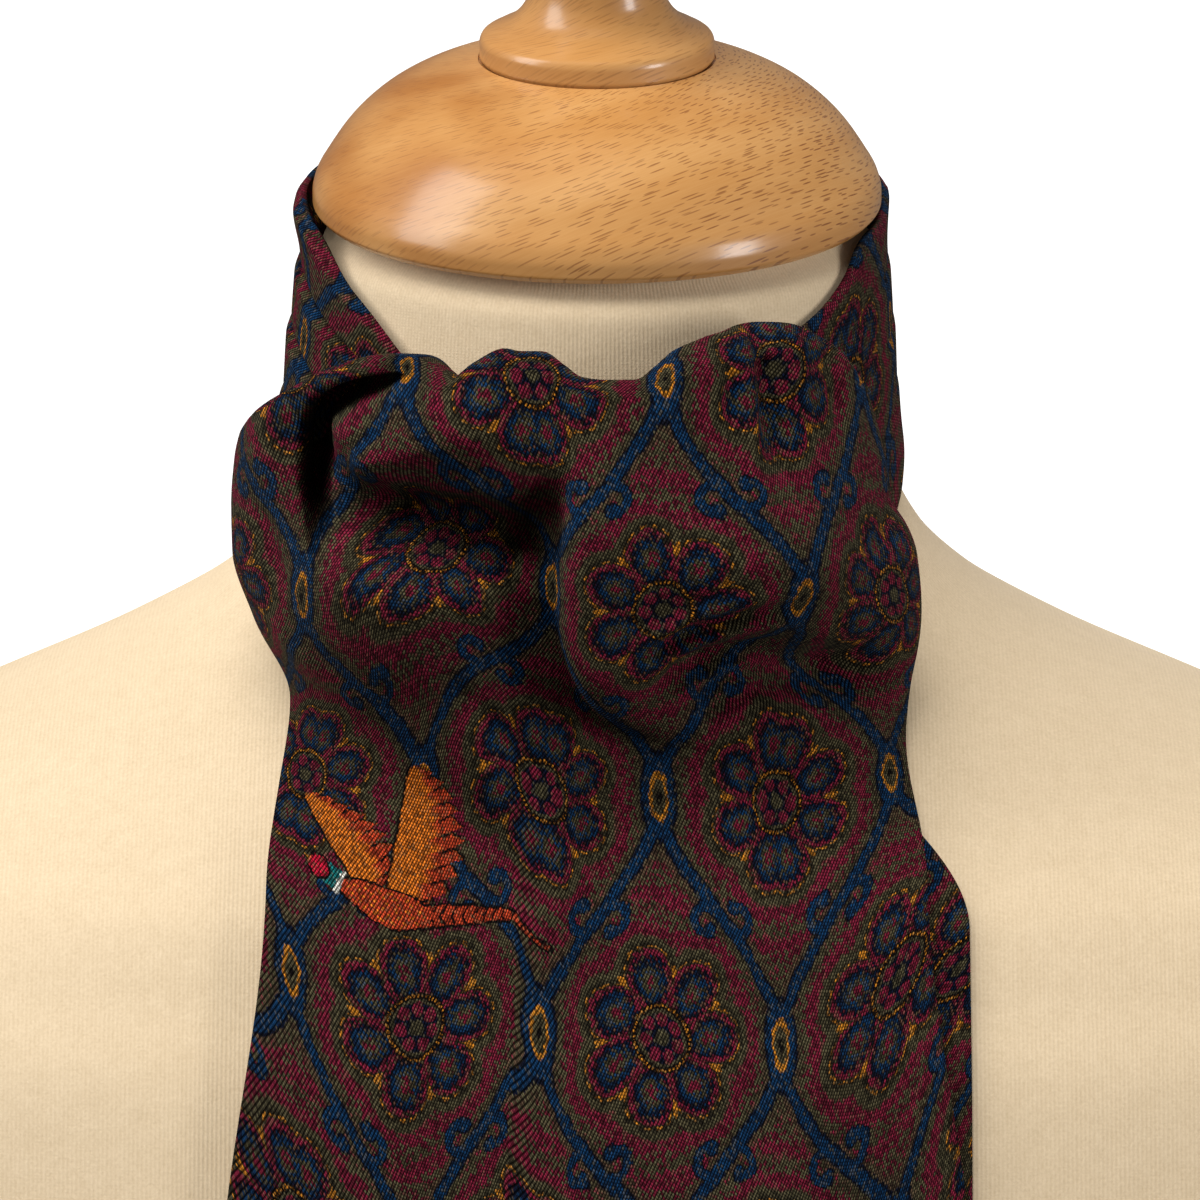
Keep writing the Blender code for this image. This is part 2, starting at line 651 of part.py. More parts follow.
def cap_profile(seat):
    """The cap's profile with a flat seat of that radius for the knob let into its top."""
    radii, heights = zip(*CAP_DOME)
    brim = float(np.interp(seat, radii, heights))
    floor = brim - KNOB_SEAT_DEPTH
    dome = [point for point in CAP_DOME if point[0] > seat]
    return [(0, floor), (seat, floor), (seat, brim), *dome, *CAP_RIM]


def main():
    for old in list(bpy.data.objects):
        bpy.data.objects.remove(old)
    cravat = bpy.data.collections.new("cravat")
    stand = bpy.data.collections.new("display_bust")
    for collection in (cravat, stand):
        bpy.context.scene.collection.children.link(collection)
    cloth = material("printed_twill", COLOURS["cloth"], 0.85)
    jersey = material("jersey_cover", COLOURS["jersey"], 0.9)
    wood = material("lacquered_beech", COLOURS["wood"], 0.3)

    bust(stand, jersey)
    seat = max(radius for radius, _ in KNOB_PROFILE) + SEAM_GAP
    cap = cap_profile(seat)
    turned("neck_cap", cap, CAP_STEPS, 0.0, stand, wood)
    turned("cap_knob", KNOB_PROFILE, KNOB_STEPS, cap[0][1] + SEAM_GAP, stand, wood)

    across = 2 * spaced(BLADE_COLUMNS, CROWDED_COLUMNS) - 1
    along = spaced(BLADE_ROWS, CROWDED_ROWS)
    sheet("front_blade", front_blade_surface, across, along, cravat, cloth)
    across, along = np.linspace(-1, 1, UNDER_COLUMNS), np.linspace(0, 1, UNDER_ROWS)
    sheet("under_blade", under_blade_surface, across, along, cravat, cloth)

    edges = [row[0] for row in PLEATS]
    rows = [low + (high - low) * t for low, high in zip(edges, edges[1:]) for t in PLEAT_ROWS]
    rows.append(1.0)
    split, gap = BAND_SPLIT_DEG, SPLIT_GAP_DEG
    round_nape = BACK_BAND + tuple((360 - row[0], *row[1:]) for row in BACK_BAND[-2::-1])
    for name, band, angles in (
        ("neckband_left", LEFT_BAND, np.linspace(-split, -LEFT_BAND[0][0], BAND_STEPS)),
        ("neckband_right", RIGHT_BAND, np.linspace(RIGHT_BAND[0][0], split, BAND_STEPS)),
        ("neckband_back", round_nape, np.linspace(split + gap, 360 - split - gap, NAPE_STEPS)),
    ):
        sheet(name, partial(band_surface, band), np.radians(angles), rows, cravat, cloth)
    angles = np.radians(np.linspace(CROSSING[0][0], CROSSING[-1][0], CROSSING_STEPS))
    sheet("crossing", crossing_surface, angles, np.linspace(0, 1, CROSSING_ROWS), cravat, cloth)


if __name__ == "__main__":
    main()
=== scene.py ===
"""Looks of the day cravat and of the display bust that it is worn on.

The tables hold millimetres, as the solids' own source does, and MM turns them into metres.
Each piece of cloth is a fine grid laid on the surface of its solid, with more creases than the
solid has, given a thin wall. Each point keeps its place on the flat cloth, and the print reads it.
"""

import math

import bmesh
import bpy
import numpy as np
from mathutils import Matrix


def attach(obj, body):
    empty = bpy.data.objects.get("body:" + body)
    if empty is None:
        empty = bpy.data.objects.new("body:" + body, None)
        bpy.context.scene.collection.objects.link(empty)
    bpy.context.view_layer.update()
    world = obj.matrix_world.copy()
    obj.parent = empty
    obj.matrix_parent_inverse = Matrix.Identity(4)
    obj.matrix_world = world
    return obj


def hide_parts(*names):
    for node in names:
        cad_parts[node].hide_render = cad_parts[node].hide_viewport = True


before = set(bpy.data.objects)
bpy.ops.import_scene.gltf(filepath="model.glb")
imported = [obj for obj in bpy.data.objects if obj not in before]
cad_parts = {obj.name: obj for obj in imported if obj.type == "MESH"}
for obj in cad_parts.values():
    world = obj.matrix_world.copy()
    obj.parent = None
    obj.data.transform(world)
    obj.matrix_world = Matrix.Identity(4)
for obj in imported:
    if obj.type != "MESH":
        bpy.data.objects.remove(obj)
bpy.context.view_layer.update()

MM = 0.001
CLOTH = 1.6
LAY_GAP = 0.45
OVER_UNDER = 2 * (CLOTH + LAY_GAP)  # how far off the chest a blade lies that covers another
SHOWN_CLOTH = 1.1  # the wall as it looks: two layers of twill
SEAM_GAP = 0.3

# ---- the bust's rings

RING_COLUMNS = ("level", "half_width", "front", "back", "lean_deg", "squareness")
RINGS = (
    (0, 140, -99, 95, 0, 2.30),
    (8, 144, -103, 99, 0, 2.30),
    (45, 147, -106, 101, 0, 2.35),
    (95, 156, -110, 105, 0, 2.40),
    (140, 168, -114, 108, 0, 2.45),
    (180, 181, -116, 110, 0, 2.50),
    (212, 193, -114, 111, 0, 2.50),
    (240, 200, -108, 111, 0, 2.45),
    (262, 201, -102, 109, 0, 2.40),
    (280, 196, -95, 106, 1, 2.30),
    (294, 184, -90, 102, 2, 2.20),
    (306, 162, -84, 97, 4, 2.15),
    (318, 132, -77.5, 90, 6, 2.10),
    (330, 102, -71, 82, 8, 2.05),
    (342, 79, -65, 74, 10, 2.00),
    (354, 66, -60.5, 67, 11, 2.00),
    (367, 59.5, -58.2, 61.5, 10, 2.00),
    (382, 57.2, -57.0, 58.2, 8, 2.00),
    (398, 56.2, -56.2, 56.8, 7, 2.00),
    (412, 55, -55, 55, 8.5, 2.00),
    (421, 54, -54, 54, 10, 2.00),
)
NECK_TOP = RINGS[-1][0]
NECK_ROUNDING, NECK_ROUNDS_FROM = 0.07, 411.0  # the jersey's rolled top, under the cap
BUST_COLUMNS = 176
BUST_LEVELS = ((0, 8, 5), (11, 270, 60), (273, NECK_TOP, 90))  # from, to and how many rings
BUST_SHARP_DEG = 40
LEVEL_TRIES = 8  # rounds of looking for the ring that passes through a place

# ---- the wooden cap and its knob

CAP_LEAN_DEG = 10.0
CAP_BOTTOM = 421.3
CAP_DOME = (  # radius and height of each place on it, as in the two profiles below
    *((0, 33.4), (12, 32.6), (22, 30.3), (32, 27.6), (41, 23.3), (48.5, 17.0)),
    *((53.6, 10.0), (55.8, 6.0), (56.4, 3.2)),
)
CAP_RIM = ((56.4, 1.3), (55.5, 0))
KNOB_SEAT_DEPTH = 0.6
KNOB_TURNED = (
    *((0, 49.0), (7.5, 48.2), (14.0, 45.4), (18.2, 40.6), (19.4, 35.4), (17.9, 30.2)),
    *((15.0, 25.0), (13.3, 20.6), (12.9, 16.8), (13.4, 13.4), (14.9, 10.4), (17.4, 8.0)),
    *((20.8, 6.2), (22.8, 4.9), (23.2, 3.6), (23.2, 0.8)),
)
KNOB_FOOT = ((22.6, 0), (0, 0))
CURVE_PIECES = 7  # points on each stretch of a turner's profile
TURNED_STEPS, TURNED_SHARP_DEG = 144, 48

# ---- the front blade

# the fall's section at each height: its reach left, right and forward of a middle line, and
# how far round that line each side turns
FALL_COLUMNS = ("z", "left", "right", "front", "middle", "left_turn_deg", "right_turn_deg")
FALL = (
    (160, 71, 71, -112, -40, 60, 60),
    (300, 65, 64, -94, -44, 60, 60),
    (318, 63, 61, -90, -45, 66, 66),
    (332, 61, 62.5, -89, -45, 74, 74),
    (346, 67, 63.8, -90, -43, 84, 80),
    (358, 71, 62.6, -90, -40, 91, 83),
    (367, 71.2, 59.0, -89, -39, 95, 85),
    (376, 70.4, 56.2, -87, -38, 98, 87),
    (386, 67, 54.0, -84, -37, 100, 88),
    (400, 63, 52.0, -79, -36, 101, 88),
)
SIDES_MEET = 0.12  # the fall's left and right sections blend within this share of its middle
LAID_FROM, LAID_BY = 342.0, 300.0
FULL_WIDTH_BY = 225.0
TOUCHES_BELOW = 330.0  # here no fold sinks into the under blade
BLADE_HALF_WIDTH = 71.0
BLADE_HIGH_HALF_WIDTH = 63.0
BLADE_TIP = 158.0
POINT_SLOPE = 0.92

CREST_COLUMNS = ("share", "height", "front_roll", "back_roll", "drop")
CREST = (
    (-1.00, 377.0, 4.4, 4.2, 4.8),
    (-0.90, 383.0, 4.4, 4.2, 4.8),
    (-0.80, 386.0, 4.4, 4.4, 4.8),
    (-0.69, 389.5, 4.4, 5.0, 4.8),
    (-0.58, 394.0, 4.6, 8.0, 4.8),
    (-0.50, 397.5, 5.0, 12.0, 5.0),
    (-0.41, 399.5, 5.4, 13.0, 5.4),
    (-0.34, 399.5, 5.4, 12.0, 5.4),
    (-0.28, 397.5, 5.0, 8.0, 5.0),
    (-0.25, 396.5, 4.2, 5.6, 4.4),
    (-0.22, 399.0, 5.2, 5.0, 5.0),
    (-0.17, 401.5, 6.2, 5.0, 5.8),
    (-0.14, 401.0, 6.4, 5.0, 6.0),
    (-0.10, 401.0, 6.4, 5.0, 6.0),
    (-0.06, 398.5, 6.0, 4.8, 5.6),
    (-0.03, 396.5, 5.2, 4.4, 5.0),
    (0.02, 396.0, 4.8, 4.4, 4.6),
    (0.10, 396.0, 5.0, 4.6, 4.8),
    (0.15, 398.0, 6.2, 5.2, 5.6),
    (0.22, 401.0, 8.2, 6.2, 7.0),
    (0.30, 402.5, 9.6, 7.0, 8.4),
    (0.40, 404.0, 9.8, 7.2, 8.8),
    (0.50, 405.0, 9.6, 6.8, 8.6),
    (0.60, 404.5, 8.2, 5.8, 7.6),
    (0.72, 401.5, 6.6, 4.8, 6.2),
    (0.86, 394.5, 5.4, 4.6, 5.4),
    (1.00, 384.0, 5.0, 4.4, 5.2),
)
ROLL_END_DEG = 24.0
RISE_TUCK = 4.5
RISE_HANDLES = (0.3, 0.6)  # the rise's curve: its handles at the roll and at the throat
THROAT_LEVEL = 362.0
THROAT_GATHER = 0.62
TONGUE_SHARE = (0.10, 0.50)  # the middle, which reaches down to the throat behind the roll
RISE_SHARE, ROLL_SHARE = 0.12, 0.27
CREST_SHARE = ROLL_SHARE - (ROLL_SHARE - RISE_SHARE) * 0.42  # the top of the roll
POINT_ROUNDING = 9.0  # blunts the very tip of each blade

# A fold is its rise, its width over and under its middle line, the shares of its length over
# which it fades in and out, and its route through (across, height) places.
PIT_ROUTE = (
    *((-23, 397.5), (-33, 395.6), (-42.5, 393.4), (-49.8, 389)),
    *((-53.2, 382), (-54.2, 374), (-52.4, 366), (-48.4, 360)),
)
PITS = (  # sunk straight back: the deep fold that the left-hand roll hides
    (-27.0, 3.2, 1.4, 0.46, 0.28, PIT_ROUTE),
)
MIDDLE_ROUTE = ((-5, 382), (-8.4, 368), (-9.4, 352), (-3.6, 335), (8, 327), (22, 325))
FOLDS = (
    # the roll over the dimple and the shoulder left of it
    (4.2, 5.0, 4.6, 0.25, 0.4, ((-38, 398), (-48, 396), (-57, 390), (-63, 381), (-64, 366))),
    # the upper lobe between the dimple and the middle, and the hollow under it
    (9.4, 8.0, 9.0, 0.3, 0.35, ((-49, 377), (-40, 384), (-27, 388), (-9, 386))),
    (-14.5, 5.8, 6.8, 0.22, 0.3, ((-52, 370), (-38, 370), (-25, 368.5), (-15, 365), (-9, 356))),
    # the lower left bulge
    (6.4, 12.0, 14.0, 0.5, 0.5, ((-65, 360), (-50, 356.5), (-33, 353), (-19, 344))),
    # the crease down the middle and the cloth that stands forward on its right
    (-9.6, 2.0, 8.0, 0.2, 0.3, MIDDLE_ROUTE),
    (5.8, 11.0, 2.4, 0.25, 0.4, ((0, 384), (-2.6, 367), (-2.6, 350), (2.6, 336), (12, 331))),
    # the broad bulge right of the middle and the dark fold below it
    (6.4, 15.0, 8.0, 0.5, 0.4, ((4, 368), (22, 363), (40, 361), (55, 359))),
    (-14.0, 5.4, 8.5, 0.34, 0.2, ((8, 334), (20, 340.5), (32, 341.5), (46, 339.5), (62, 338))),
    # the ridge and hollow that lead down from the puff
    (4.8, 8.4, 6.4, 0.3, 0.5, ((-31, 338), (-21, 323), (-10, 309), (-5, 296), (-3, 284))),
    (-5.0, 6.4, 7.6, 0.3, 0.5, ((0, 323), (7, 309), (14, 296), (18, 282))),
    (4.2, 6.0, 7.0, 0.4, 0.4, ((18, 326), (26, 311), (33, 294), (36, 272))),
    # the pinch in the right-hand lobe
    (-4.2, 2.4, 2.8, 0.15, 0.5, ((32, 401), (33.5, 394), (34, 384), (37, 372))),
    # long soft folds of the hanging end
    (3.2, 9.0, 11.0, 0.4, 0.35, ((-46, 322), (-44, 280), (-40, 235), (-34, 190))),
    (3.6, 10.0, 9.0, 0.4, 0.35, ((40, 320), (40, 275), (36, 230), (26, 186))),
    (2.4, 8.0, 9.0, 0.4, 0.4, ((-8, 280), (-4, 245), (-2, 205), (0, 172))),
)
# Creases that only show here: they stand on the folds above.
FINE_FOLDS = (
    # small gathers that run down from the low place in the crest
    (1.3, 1.6, 1.9, 0.2, 0.6, ((-33, 398), (-36, 390), (-34, 382))),
    (-1.2, 1.4, 1.6, 0.2, 0.6, ((-26.5, 397), (-27, 390), (-23, 381), (-16, 374))),
    (1.2, 1.8, 1.6, 0.2, 0.6, ((-19, 400), (-21, 391), (-18, 381))),
    (-1.1, 1.5, 1.5, 0.3, 0.6, ((-12, 400), (-13, 391), (-11, 381))),
    (-0.9, 2.0, 2.0, 0.2, 0.6, ((3, 394), (6, 384), (12, 373))),
    (0.8, 2.4, 2.0, 0.2, 0.6, ((12, 394), (17, 383), (25, 374))),
    # soft creases that fan out from the deep fold towards the crest
    (1.7, 1.9, 1.7, 0.2, 0.4, ((-49, 384), (-41, 390.5), (-30, 396))),
    (-1.6, 1.5, 1.7, 0.2, 0.5, ((-48.5, 380), (-38, 386.5), (-26, 391.5))),
    (1.5, 1.9, 1.8, 0.2, 0.5, ((-47, 376), (-35, 382), (-19, 386.5))),
    (-1.3, 1.8, 1.8, 0.3, 0.5, ((-44, 371.5), (-32, 377.5), (-17, 381))),
    # gathers in the right-hand lobe
    (-1.7, 1.4, 1.7, 0.2, 0.5, ((25, 400), (26, 392), (24, 382))),
    (1.3, 1.8, 1.8, 0.2, 0.5, ((29, 402), (30, 393), (29, 380), (31, 370))),
    (1.2, 1.8, 1.8, 0.2, 0.5, ((38, 403), (39, 394), (41, 384))),
    (-1.3, 1.6, 1.8, 0.2, 0.5, ((44, 401), (46, 391), (48, 379))),
    # fine pleats that the dark fold swallows
    (2.2, 1.4, 1.1, 0.3, 0.4, ((4, 345), (15, 351), (26, 355), (40, 357))),
    (-2.8, 1.1, 1.4, 0.3, 0.4, ((4.5, 342.5), (16, 348.5), (28, 352.5), (42, 354))),
    (2.8, 1.3, 1.0, 0.3, 0.4, ((5, 340), (17, 345.5), (30, 349.5), (45, 350.5))),
    (-3.0, 1.1, 1.3, 0.3, 0.4, ((7, 336.5), (19, 342), (32, 345.5), (47, 346))),
    (2.4, 1.4, 1.1, 0.3, 0.4, ((10, 333), (22, 338), (34, 341), (48, 341))),
    (-1.8, 1.2, 1.4, 0.3, 0.4, ((16, 330), (27, 334), (38, 336), (50, 335))),
    # creases where the hollow meets the crease down the middle
    (-1.5, 1.5, 1.7, 0.3, 0.5, ((-36, 366), (-25, 364), (-16, 358), (-12, 349))),
    (1.2, 1.8, 1.6, 0.3, 0.5, ((-40, 376), (-27, 376), (-16, 373), (-8, 364))),
    (1.2, 1.8, 2.0, 0.3, 0.5, ((-22, 358), (-15, 348), (-9, 338), (0, 330))),
    (-1.3, 1.8, 2.0, 0.3, 0.5, ((-32, 344), (-22, 334), (-12, 323), (-4, 312))),
    # where the edge of the fall is drawn in at each side
    (-1.3, 2.2, 2.4, 0.3, 0.5, ((-66, 372), (-62, 360), (-55, 350))),
    (1.2, 2.4, 2.4, 0.3, 0.5, ((-64, 350), (-54, 340), (-42, 332), (-30, 320))),
    (-1.2, 2.4, 2.4, 0.3, 0.5, ((60, 376), (57, 366), (50, 358))),
    (1.2, 2.2, 2.6, 0.3, 0.5, ((58, 330), (50, 318), (46, 300), (44, 282))),
    (-1.1, 2.4, 2.6, 0.3, 0.5, ((10, 316), (18, 302), (24, 286), (27, 268))),
)
FOLD_STEPS = 22
BLADE_COLUMNS, BLADE_ROWS = 200, 240
UNDER_COLUMNS, UNDER_ROWS = 90, 120
EVEN_REACH, GIVE_REACH, SLOW_REACH = 12, 9, 27  # neighbours over which lengths are evened out
LEAST_LENGTH = 0.8  # of the lengths beside it: no stretch of the print is shorter
MOST_EXCESS = 0.45  # the most of a fold's extra length that shows in the print
SETTLES, BLADE_SETTLES = (0.5, 1.0), (0.22, 0.50)  # the shares of a run over which it settles
PRINT_LEVEL = 400.0  # the height at which the blade's print starts
CROWDED_COLUMNS = ((0.27, 0.07, 1.2), (0.37, 0.05, 0.8), (0.46, 0.05, 0.9), (0.74, 0.06, 0.5))
CROWDED_ROWS = ((0.20, 0.09, 1.6), (0.40, 0.16, 0.9))

# ---- the neckband and the crossing

BAND_COLUMNS = ("angle_deg", "top", "bottom", "top_off", "bottom_off", "fullness", "flare")
LEFT_BAND = (
    (30, 391.8, 353.0, 0.8, 0.8, 0.6, 0.0),
    (41, 402.3, 356.0, 0.7, 1.6, 1.1, 0.0),
    (51, 409.4, 360.0, 0.6, 3.0, 1.5, 0.0),
    (59, 413.2, 363.0, 0.6, 4.4, 1.8, 0.0),
    (67, 417.2, 366.0, 0.6, 4.8, 1.9, 0.2),
    (73, 420.0, 368.5, 0.6, 4.8, 1.9, 1.0),
    (82, 422.4, 372.5, 0.6, 4.2, 1.7, 2.0),
    (92, 424.0, 376.5, 0.6, 2.6, 1.0, 2.4),
    (102, 424.0, 380.0, 0.6, 1.4, 1.0, 2.4),
    (115, 424.0, 383.0, 0.6, 0.8, 1.0, 2.4),
)
RIGHT_BAND = (
    (30, 394.8, 353.0, 0.8, 0.8, 0.5, 0.0),
    (41, 405.6, 356.0, 0.7, 0.9, 0.5, 0.0),
    (51, 410.0, 360.0, 0.6, 1.0, 0.5, 0.0),
    (60, 414.6, 361.5, 0.5, 1.0, 0.5, 0.0),
    (66, 418.6, 363.0, 0.4, 1.0, 0.5, 0.0),
    (71, 419.9, 365.0, 0.4, 1.0, 0.5, 0.0),
    (82, 420.0, 369.5, 0.4, 1.0, 0.6, 0.2),
    (92, 420.6, 374.0, 0.4, 1.0, 0.8, 0.9),
    (102, 422.6, 378.5, 0.5, 0.8, 1.0, 2.0),
    (115, 424.0, 383.0, 0.6, 0.8, 1.0, 2.4),
)
BACK_BAND = (
    (115, 424.0, 383.0, 0.6, 0.8, 1.0, 2.4),
    (135, 424.0, 385.0, 0.6, 0.8, 1.0, 2.4),
    (160, 424.0, 386.5, 0.6, 0.8, 1.0, 2.4),
    (180, 424.0, 387.0, 0.6, 0.8, 1.0, 2.4),
)
ROUND_NAPE = BACK_BAND + tuple((360 - row[0], *row[1:]) for row in BACK_BAND[-2::-1])
FLARE_FROM, FLARE_BY = 412.0, 421.4
BAND_SPLIT_DEG = 115.0
SPLIT_GAP_DEG = 0.6
NECK_RADIUS = 60.0
SIDE_COLUMNS, NAPE_COLUMNS, BAND_ROWS = 190, 240, 110
BAND_PRINT_AT = (60.0, 12.0)  # where on the print the right-hand stretch starts
PLEAT_COLUMNS = ("edge", "proud")
PLEATS = ((0.00, 1.4), (0.22, 1.3), (0.46, 1.2), (0.73, 1.1), (1.00, 0.0))
PLEAT_HOLLOW, PLEAT_FALLS = 0.20, 0.45
CROSSING_COLUMNS = ("angle_deg", "top", "bottom")
CROSSING = (
    (-41, 370.0, 343.0),
    (-16, 370.0, 344.0),
    (8, 371.0, 345.0),
    (41, 374.0, 347.0),
)
CROSSING_STAND_OFF = 4.3
CROSSING_FOLDS = 3
CROSSING_FOLD_RISE = 1.3
CROSSING_COLUMNS_SHOWN, CROSSING_ROWS = 90, 60
CROSSING_PRINT_AT = (20.0, 9.0)
UNDER_TOP = 342.0
UNDER_TIP = 176.0
UNDER_SHIFT = 5.0
UNDER_HALF_WIDTH = 66.0
UNDER_HIGH_HALF_WIDTH = 30.0
UNDER_WIDENS = (345.0, 292.0)


def table(columns, rows):
    """The rows of a table as a dictionary of arrays, one for each named column."""
    return {name: np.array([row[i] for row in rows], float) for i, name in enumerate(columns)}


def between(low, high, value):
    """0 at low, 1 at high, smooth between."""
    share = np.clip((value - low) / (high - low), 0.0, 1.0)
    return share * share * (3.0 - 2.0 * share)


def through(places, values, at):
    """A smooth curve through the values that never overshoots them."""
    places, values = np.asarray(places, float), np.asarray(values, float)
    step = np.diff(places)
    slope = np.diff(values) / step
    left, right = slope[:-1], slope[1:]
    weight_left = 2 * step[1:] + step[:-1]
    weight_right = step[1:] + 2 * step[:-1]
    same = left * right > 0
    safe_left = np.where(same, left, 1.0)
    safe_right = np.where(same, right, 1.0)
    inner = (weight_left + weight_right) / (weight_left / safe_left + weight_right / safe_right)
    tangent = np.concatenate([[slope[0]], np.where(same, inner, 0.0), [slope[-1]]])
    at = np.clip(at, places[0], places[-1])
    i = np.clip(np.searchsorted(places, at, side="right") - 1, 0, len(step) - 1)
    t = (at - places[i]) / step[i]
    return (
        values[i] * (1 + 2 * t) * (1 - t) ** 2
        + tangent[i] * step[i] * t * (1 - t) ** 2
        + values[i + 1] * t * t * (3 - 2 * t)
        + tangent[i + 1] * step[i] * t * t * (t - 1)
    )


# ---- surfaces


def ring_at(level):
    rings = table(RING_COLUMNS, RINGS)
    return {name: through(rings["level"], rings[name], level) for name in RING_COLUMNS[1:]}


def bust_point(angle, level):
    """The bust's surface at an angle from the front, towards +X, on the ring at that level."""
    ring = ring_at(level)
    middle = (ring["front"] + ring["back"]) / 2
    depth = (ring["back"] - ring["front"]) / 2
    sine, cosine, power = np.sin(angle), np.cos(angle), 2 / ring["squareness"]
    x = ring["half_width"] * np.sign(sine) * np.abs(sine) ** power
    y = middle - depth * np.sign(cosine) * np.abs(cosine) ** power
    z = level + (y - middle) * np.tan(np.radians(ring["lean_deg"]))
    return np.stack([x, y, z], axis=-1)


def bust_normal(angle, level):
    step = 1e-3
    round_it = bust_point(angle + step, level) - bust_point(angle - step, level)
    up = bust_point(angle, level + step) - bust_point(angle, level - step)
    normal = np.cross(round_it, up)
    return normal / np.linalg.norm(normal, axis=-1, keepdims=True)


def chest_front(x, z):
    """y of the bust's front at a place across and a height."""
    level = np.array(z, float)
    for _ in range(LEVEL_TRIES):
        ring = ring_at(level)
        middle = (ring["front"] + ring["back"]) / 2
        depth = (ring["back"] - ring["front"]) / 2
        share = np.clip(np.abs(x) / ring["half_width"], 0, 0.999)
        y = middle - depth * (1 - share ** ring["squareness"]) ** (1 / ring["squareness"])
        level = z - (y - middle) * np.tan(np.radians(ring["lean_deg"]))
    return y


def lying(x, z, lift):
    """y of a surface that lies over the bust's front, lift away from it along its normal."""
    step = 0.5
    slope_x = (chest_front(x + step, z) - chest_front(x - step, z)) / (2 * step)
    slope_z = (chest_front(x, z + step) - chest_front(x, z - step)) / (2 * step)
    return chest_front(x, z) - lift * np.sqrt(1 + slope_x**2 + slope_z**2)


def route_points(route):
    """Places along a smooth curve through a fold's named places."""
    route = np.array(route, float)
    along = np.linspace(0, len(route) - 1, FOLD_STEPS)
    knots = np.arange(len(route))
    return np.stack([through(knots, route[:, k], along) for k in range(2)], axis=-1)


def fold_rise(across, height, folds):
    """How far the folds lift the cloth off its plain shape at each place."""
    total = np.zeros_like(across)
    here = np.stack([across, height], axis=-1)
    for rise, over, under, fade_in, fade_out, route in folds:
        line = route_points(route)
        nearest = np.full(across.shape, np.inf)
        share = np.zeros_like(across)
        side = np.zeros_like(across)
        for i in range(len(line) - 1):
            step = line[i + 1] - line[i]
            offset = here - line[i]
            t = np.clip((offset @ step) / (step @ step), 0, 1)
            away = offset - t[..., None] * step
            distance = np.hypot(away[..., 0], away[..., 1])
            closer = distance < nearest
            nearest = np.where(closer, distance, nearest)
            share = np.where(closer, (i + t) / (len(line) - 1), share)
            side = np.where(closer, step[0] * offset[..., 1] - step[1] * offset[..., 0], side)
        width = under + (over - under) * between(-over, over, np.sign(side) * nearest)
        fade = between(0, fade_in, share) * between(0, fade_out, 1 - share)
        total += rise * fade * np.exp(-((nearest / width) ** 2))
    return total


def fall_plan(share, height):
    """The fall seen from above at a height: x, y and the outward direction. share runs -1 to 1."""
    fall = table(FALL_COLUMNS, FALL)
    left, right, front, middle, left_turn, right_turn = (
        through(fall["z"], fall[name], height) for name in FALL_COLUMNS[1:]
    )
    on_left = between(SIDES_MEET, -SIDES_MEET, share)
    angle = share * np.radians(right_turn + (left_turn - right_turn) * on_left)
    half = right + (left - right) * on_left
    depth = middle - front
    x = half * np.sin(angle)
    y = middle - depth * np.cos(angle)
    out_x, out_y = depth * np.sin(angle), -half * np.cos(angle)
    long = np.hypot(out_x, out_y)
    return x, y, out_x / long, out_y / long


def laid_plan(share, height):
    """The blade lying on the chest at a height, over the under blade."""
    widened = between(LAID_BY, FULL_WIDTH_BY, height)
    half = BLADE_HIGH_HALF_WIDTH + (BLADE_HALF_WIDTH - BLADE_HIGH_HALF_WIDTH) * widened
    x = half * share
    return x, lying(x, height, OVER_UNDER)


def crest_at(share):
    """The crest's height and rolls, looked up by how far round the fall it is."""
    crest = table(CREST_COLUMNS, CREST)
    return [through(crest["share"], crest[name], share) for name in CREST_COLUMNS[1:]]


def fall_point(share, height, fold_share=1.0, pit_share=1.0):
    """A point on the fall's outer side."""
    x, y, out_x, out_y = fall_plan(share, height)
    laid_x, laid_y = laid_plan(share, height)
    laid = between(LAID_FROM, LAID_BY, height)
    x = x + (laid_x - x) * laid
    y = y + (laid_y - y) * laid
    out_x = out_x * (1 - laid)
    out_y = out_y * (1 - laid) - laid
    long = np.hypot(out_x, out_y)
    out_x, out_y = out_x / long, out_y / long
    rise = fold_rise(x, height, FOLDS + FINE_FOLDS) * fold_share
    rise = np.where(rise < 0, rise * (1 - laid), rise)
    y_out = y + out_y * rise
    if pit_share and fold_share:
        y_out = y_out - fold_rise(x, height, PITS) * pit_share
    nearest = lying(x, np.minimum(height, TOUCHES_BELOW), OVER_UNDER)
    y_out = np.where(height < TOUCHES_BELOW, np.minimum(y_out, nearest), y_out)
    return np.stack([x + out_x * rise, y_out, height], axis=-1), out_x, out_y


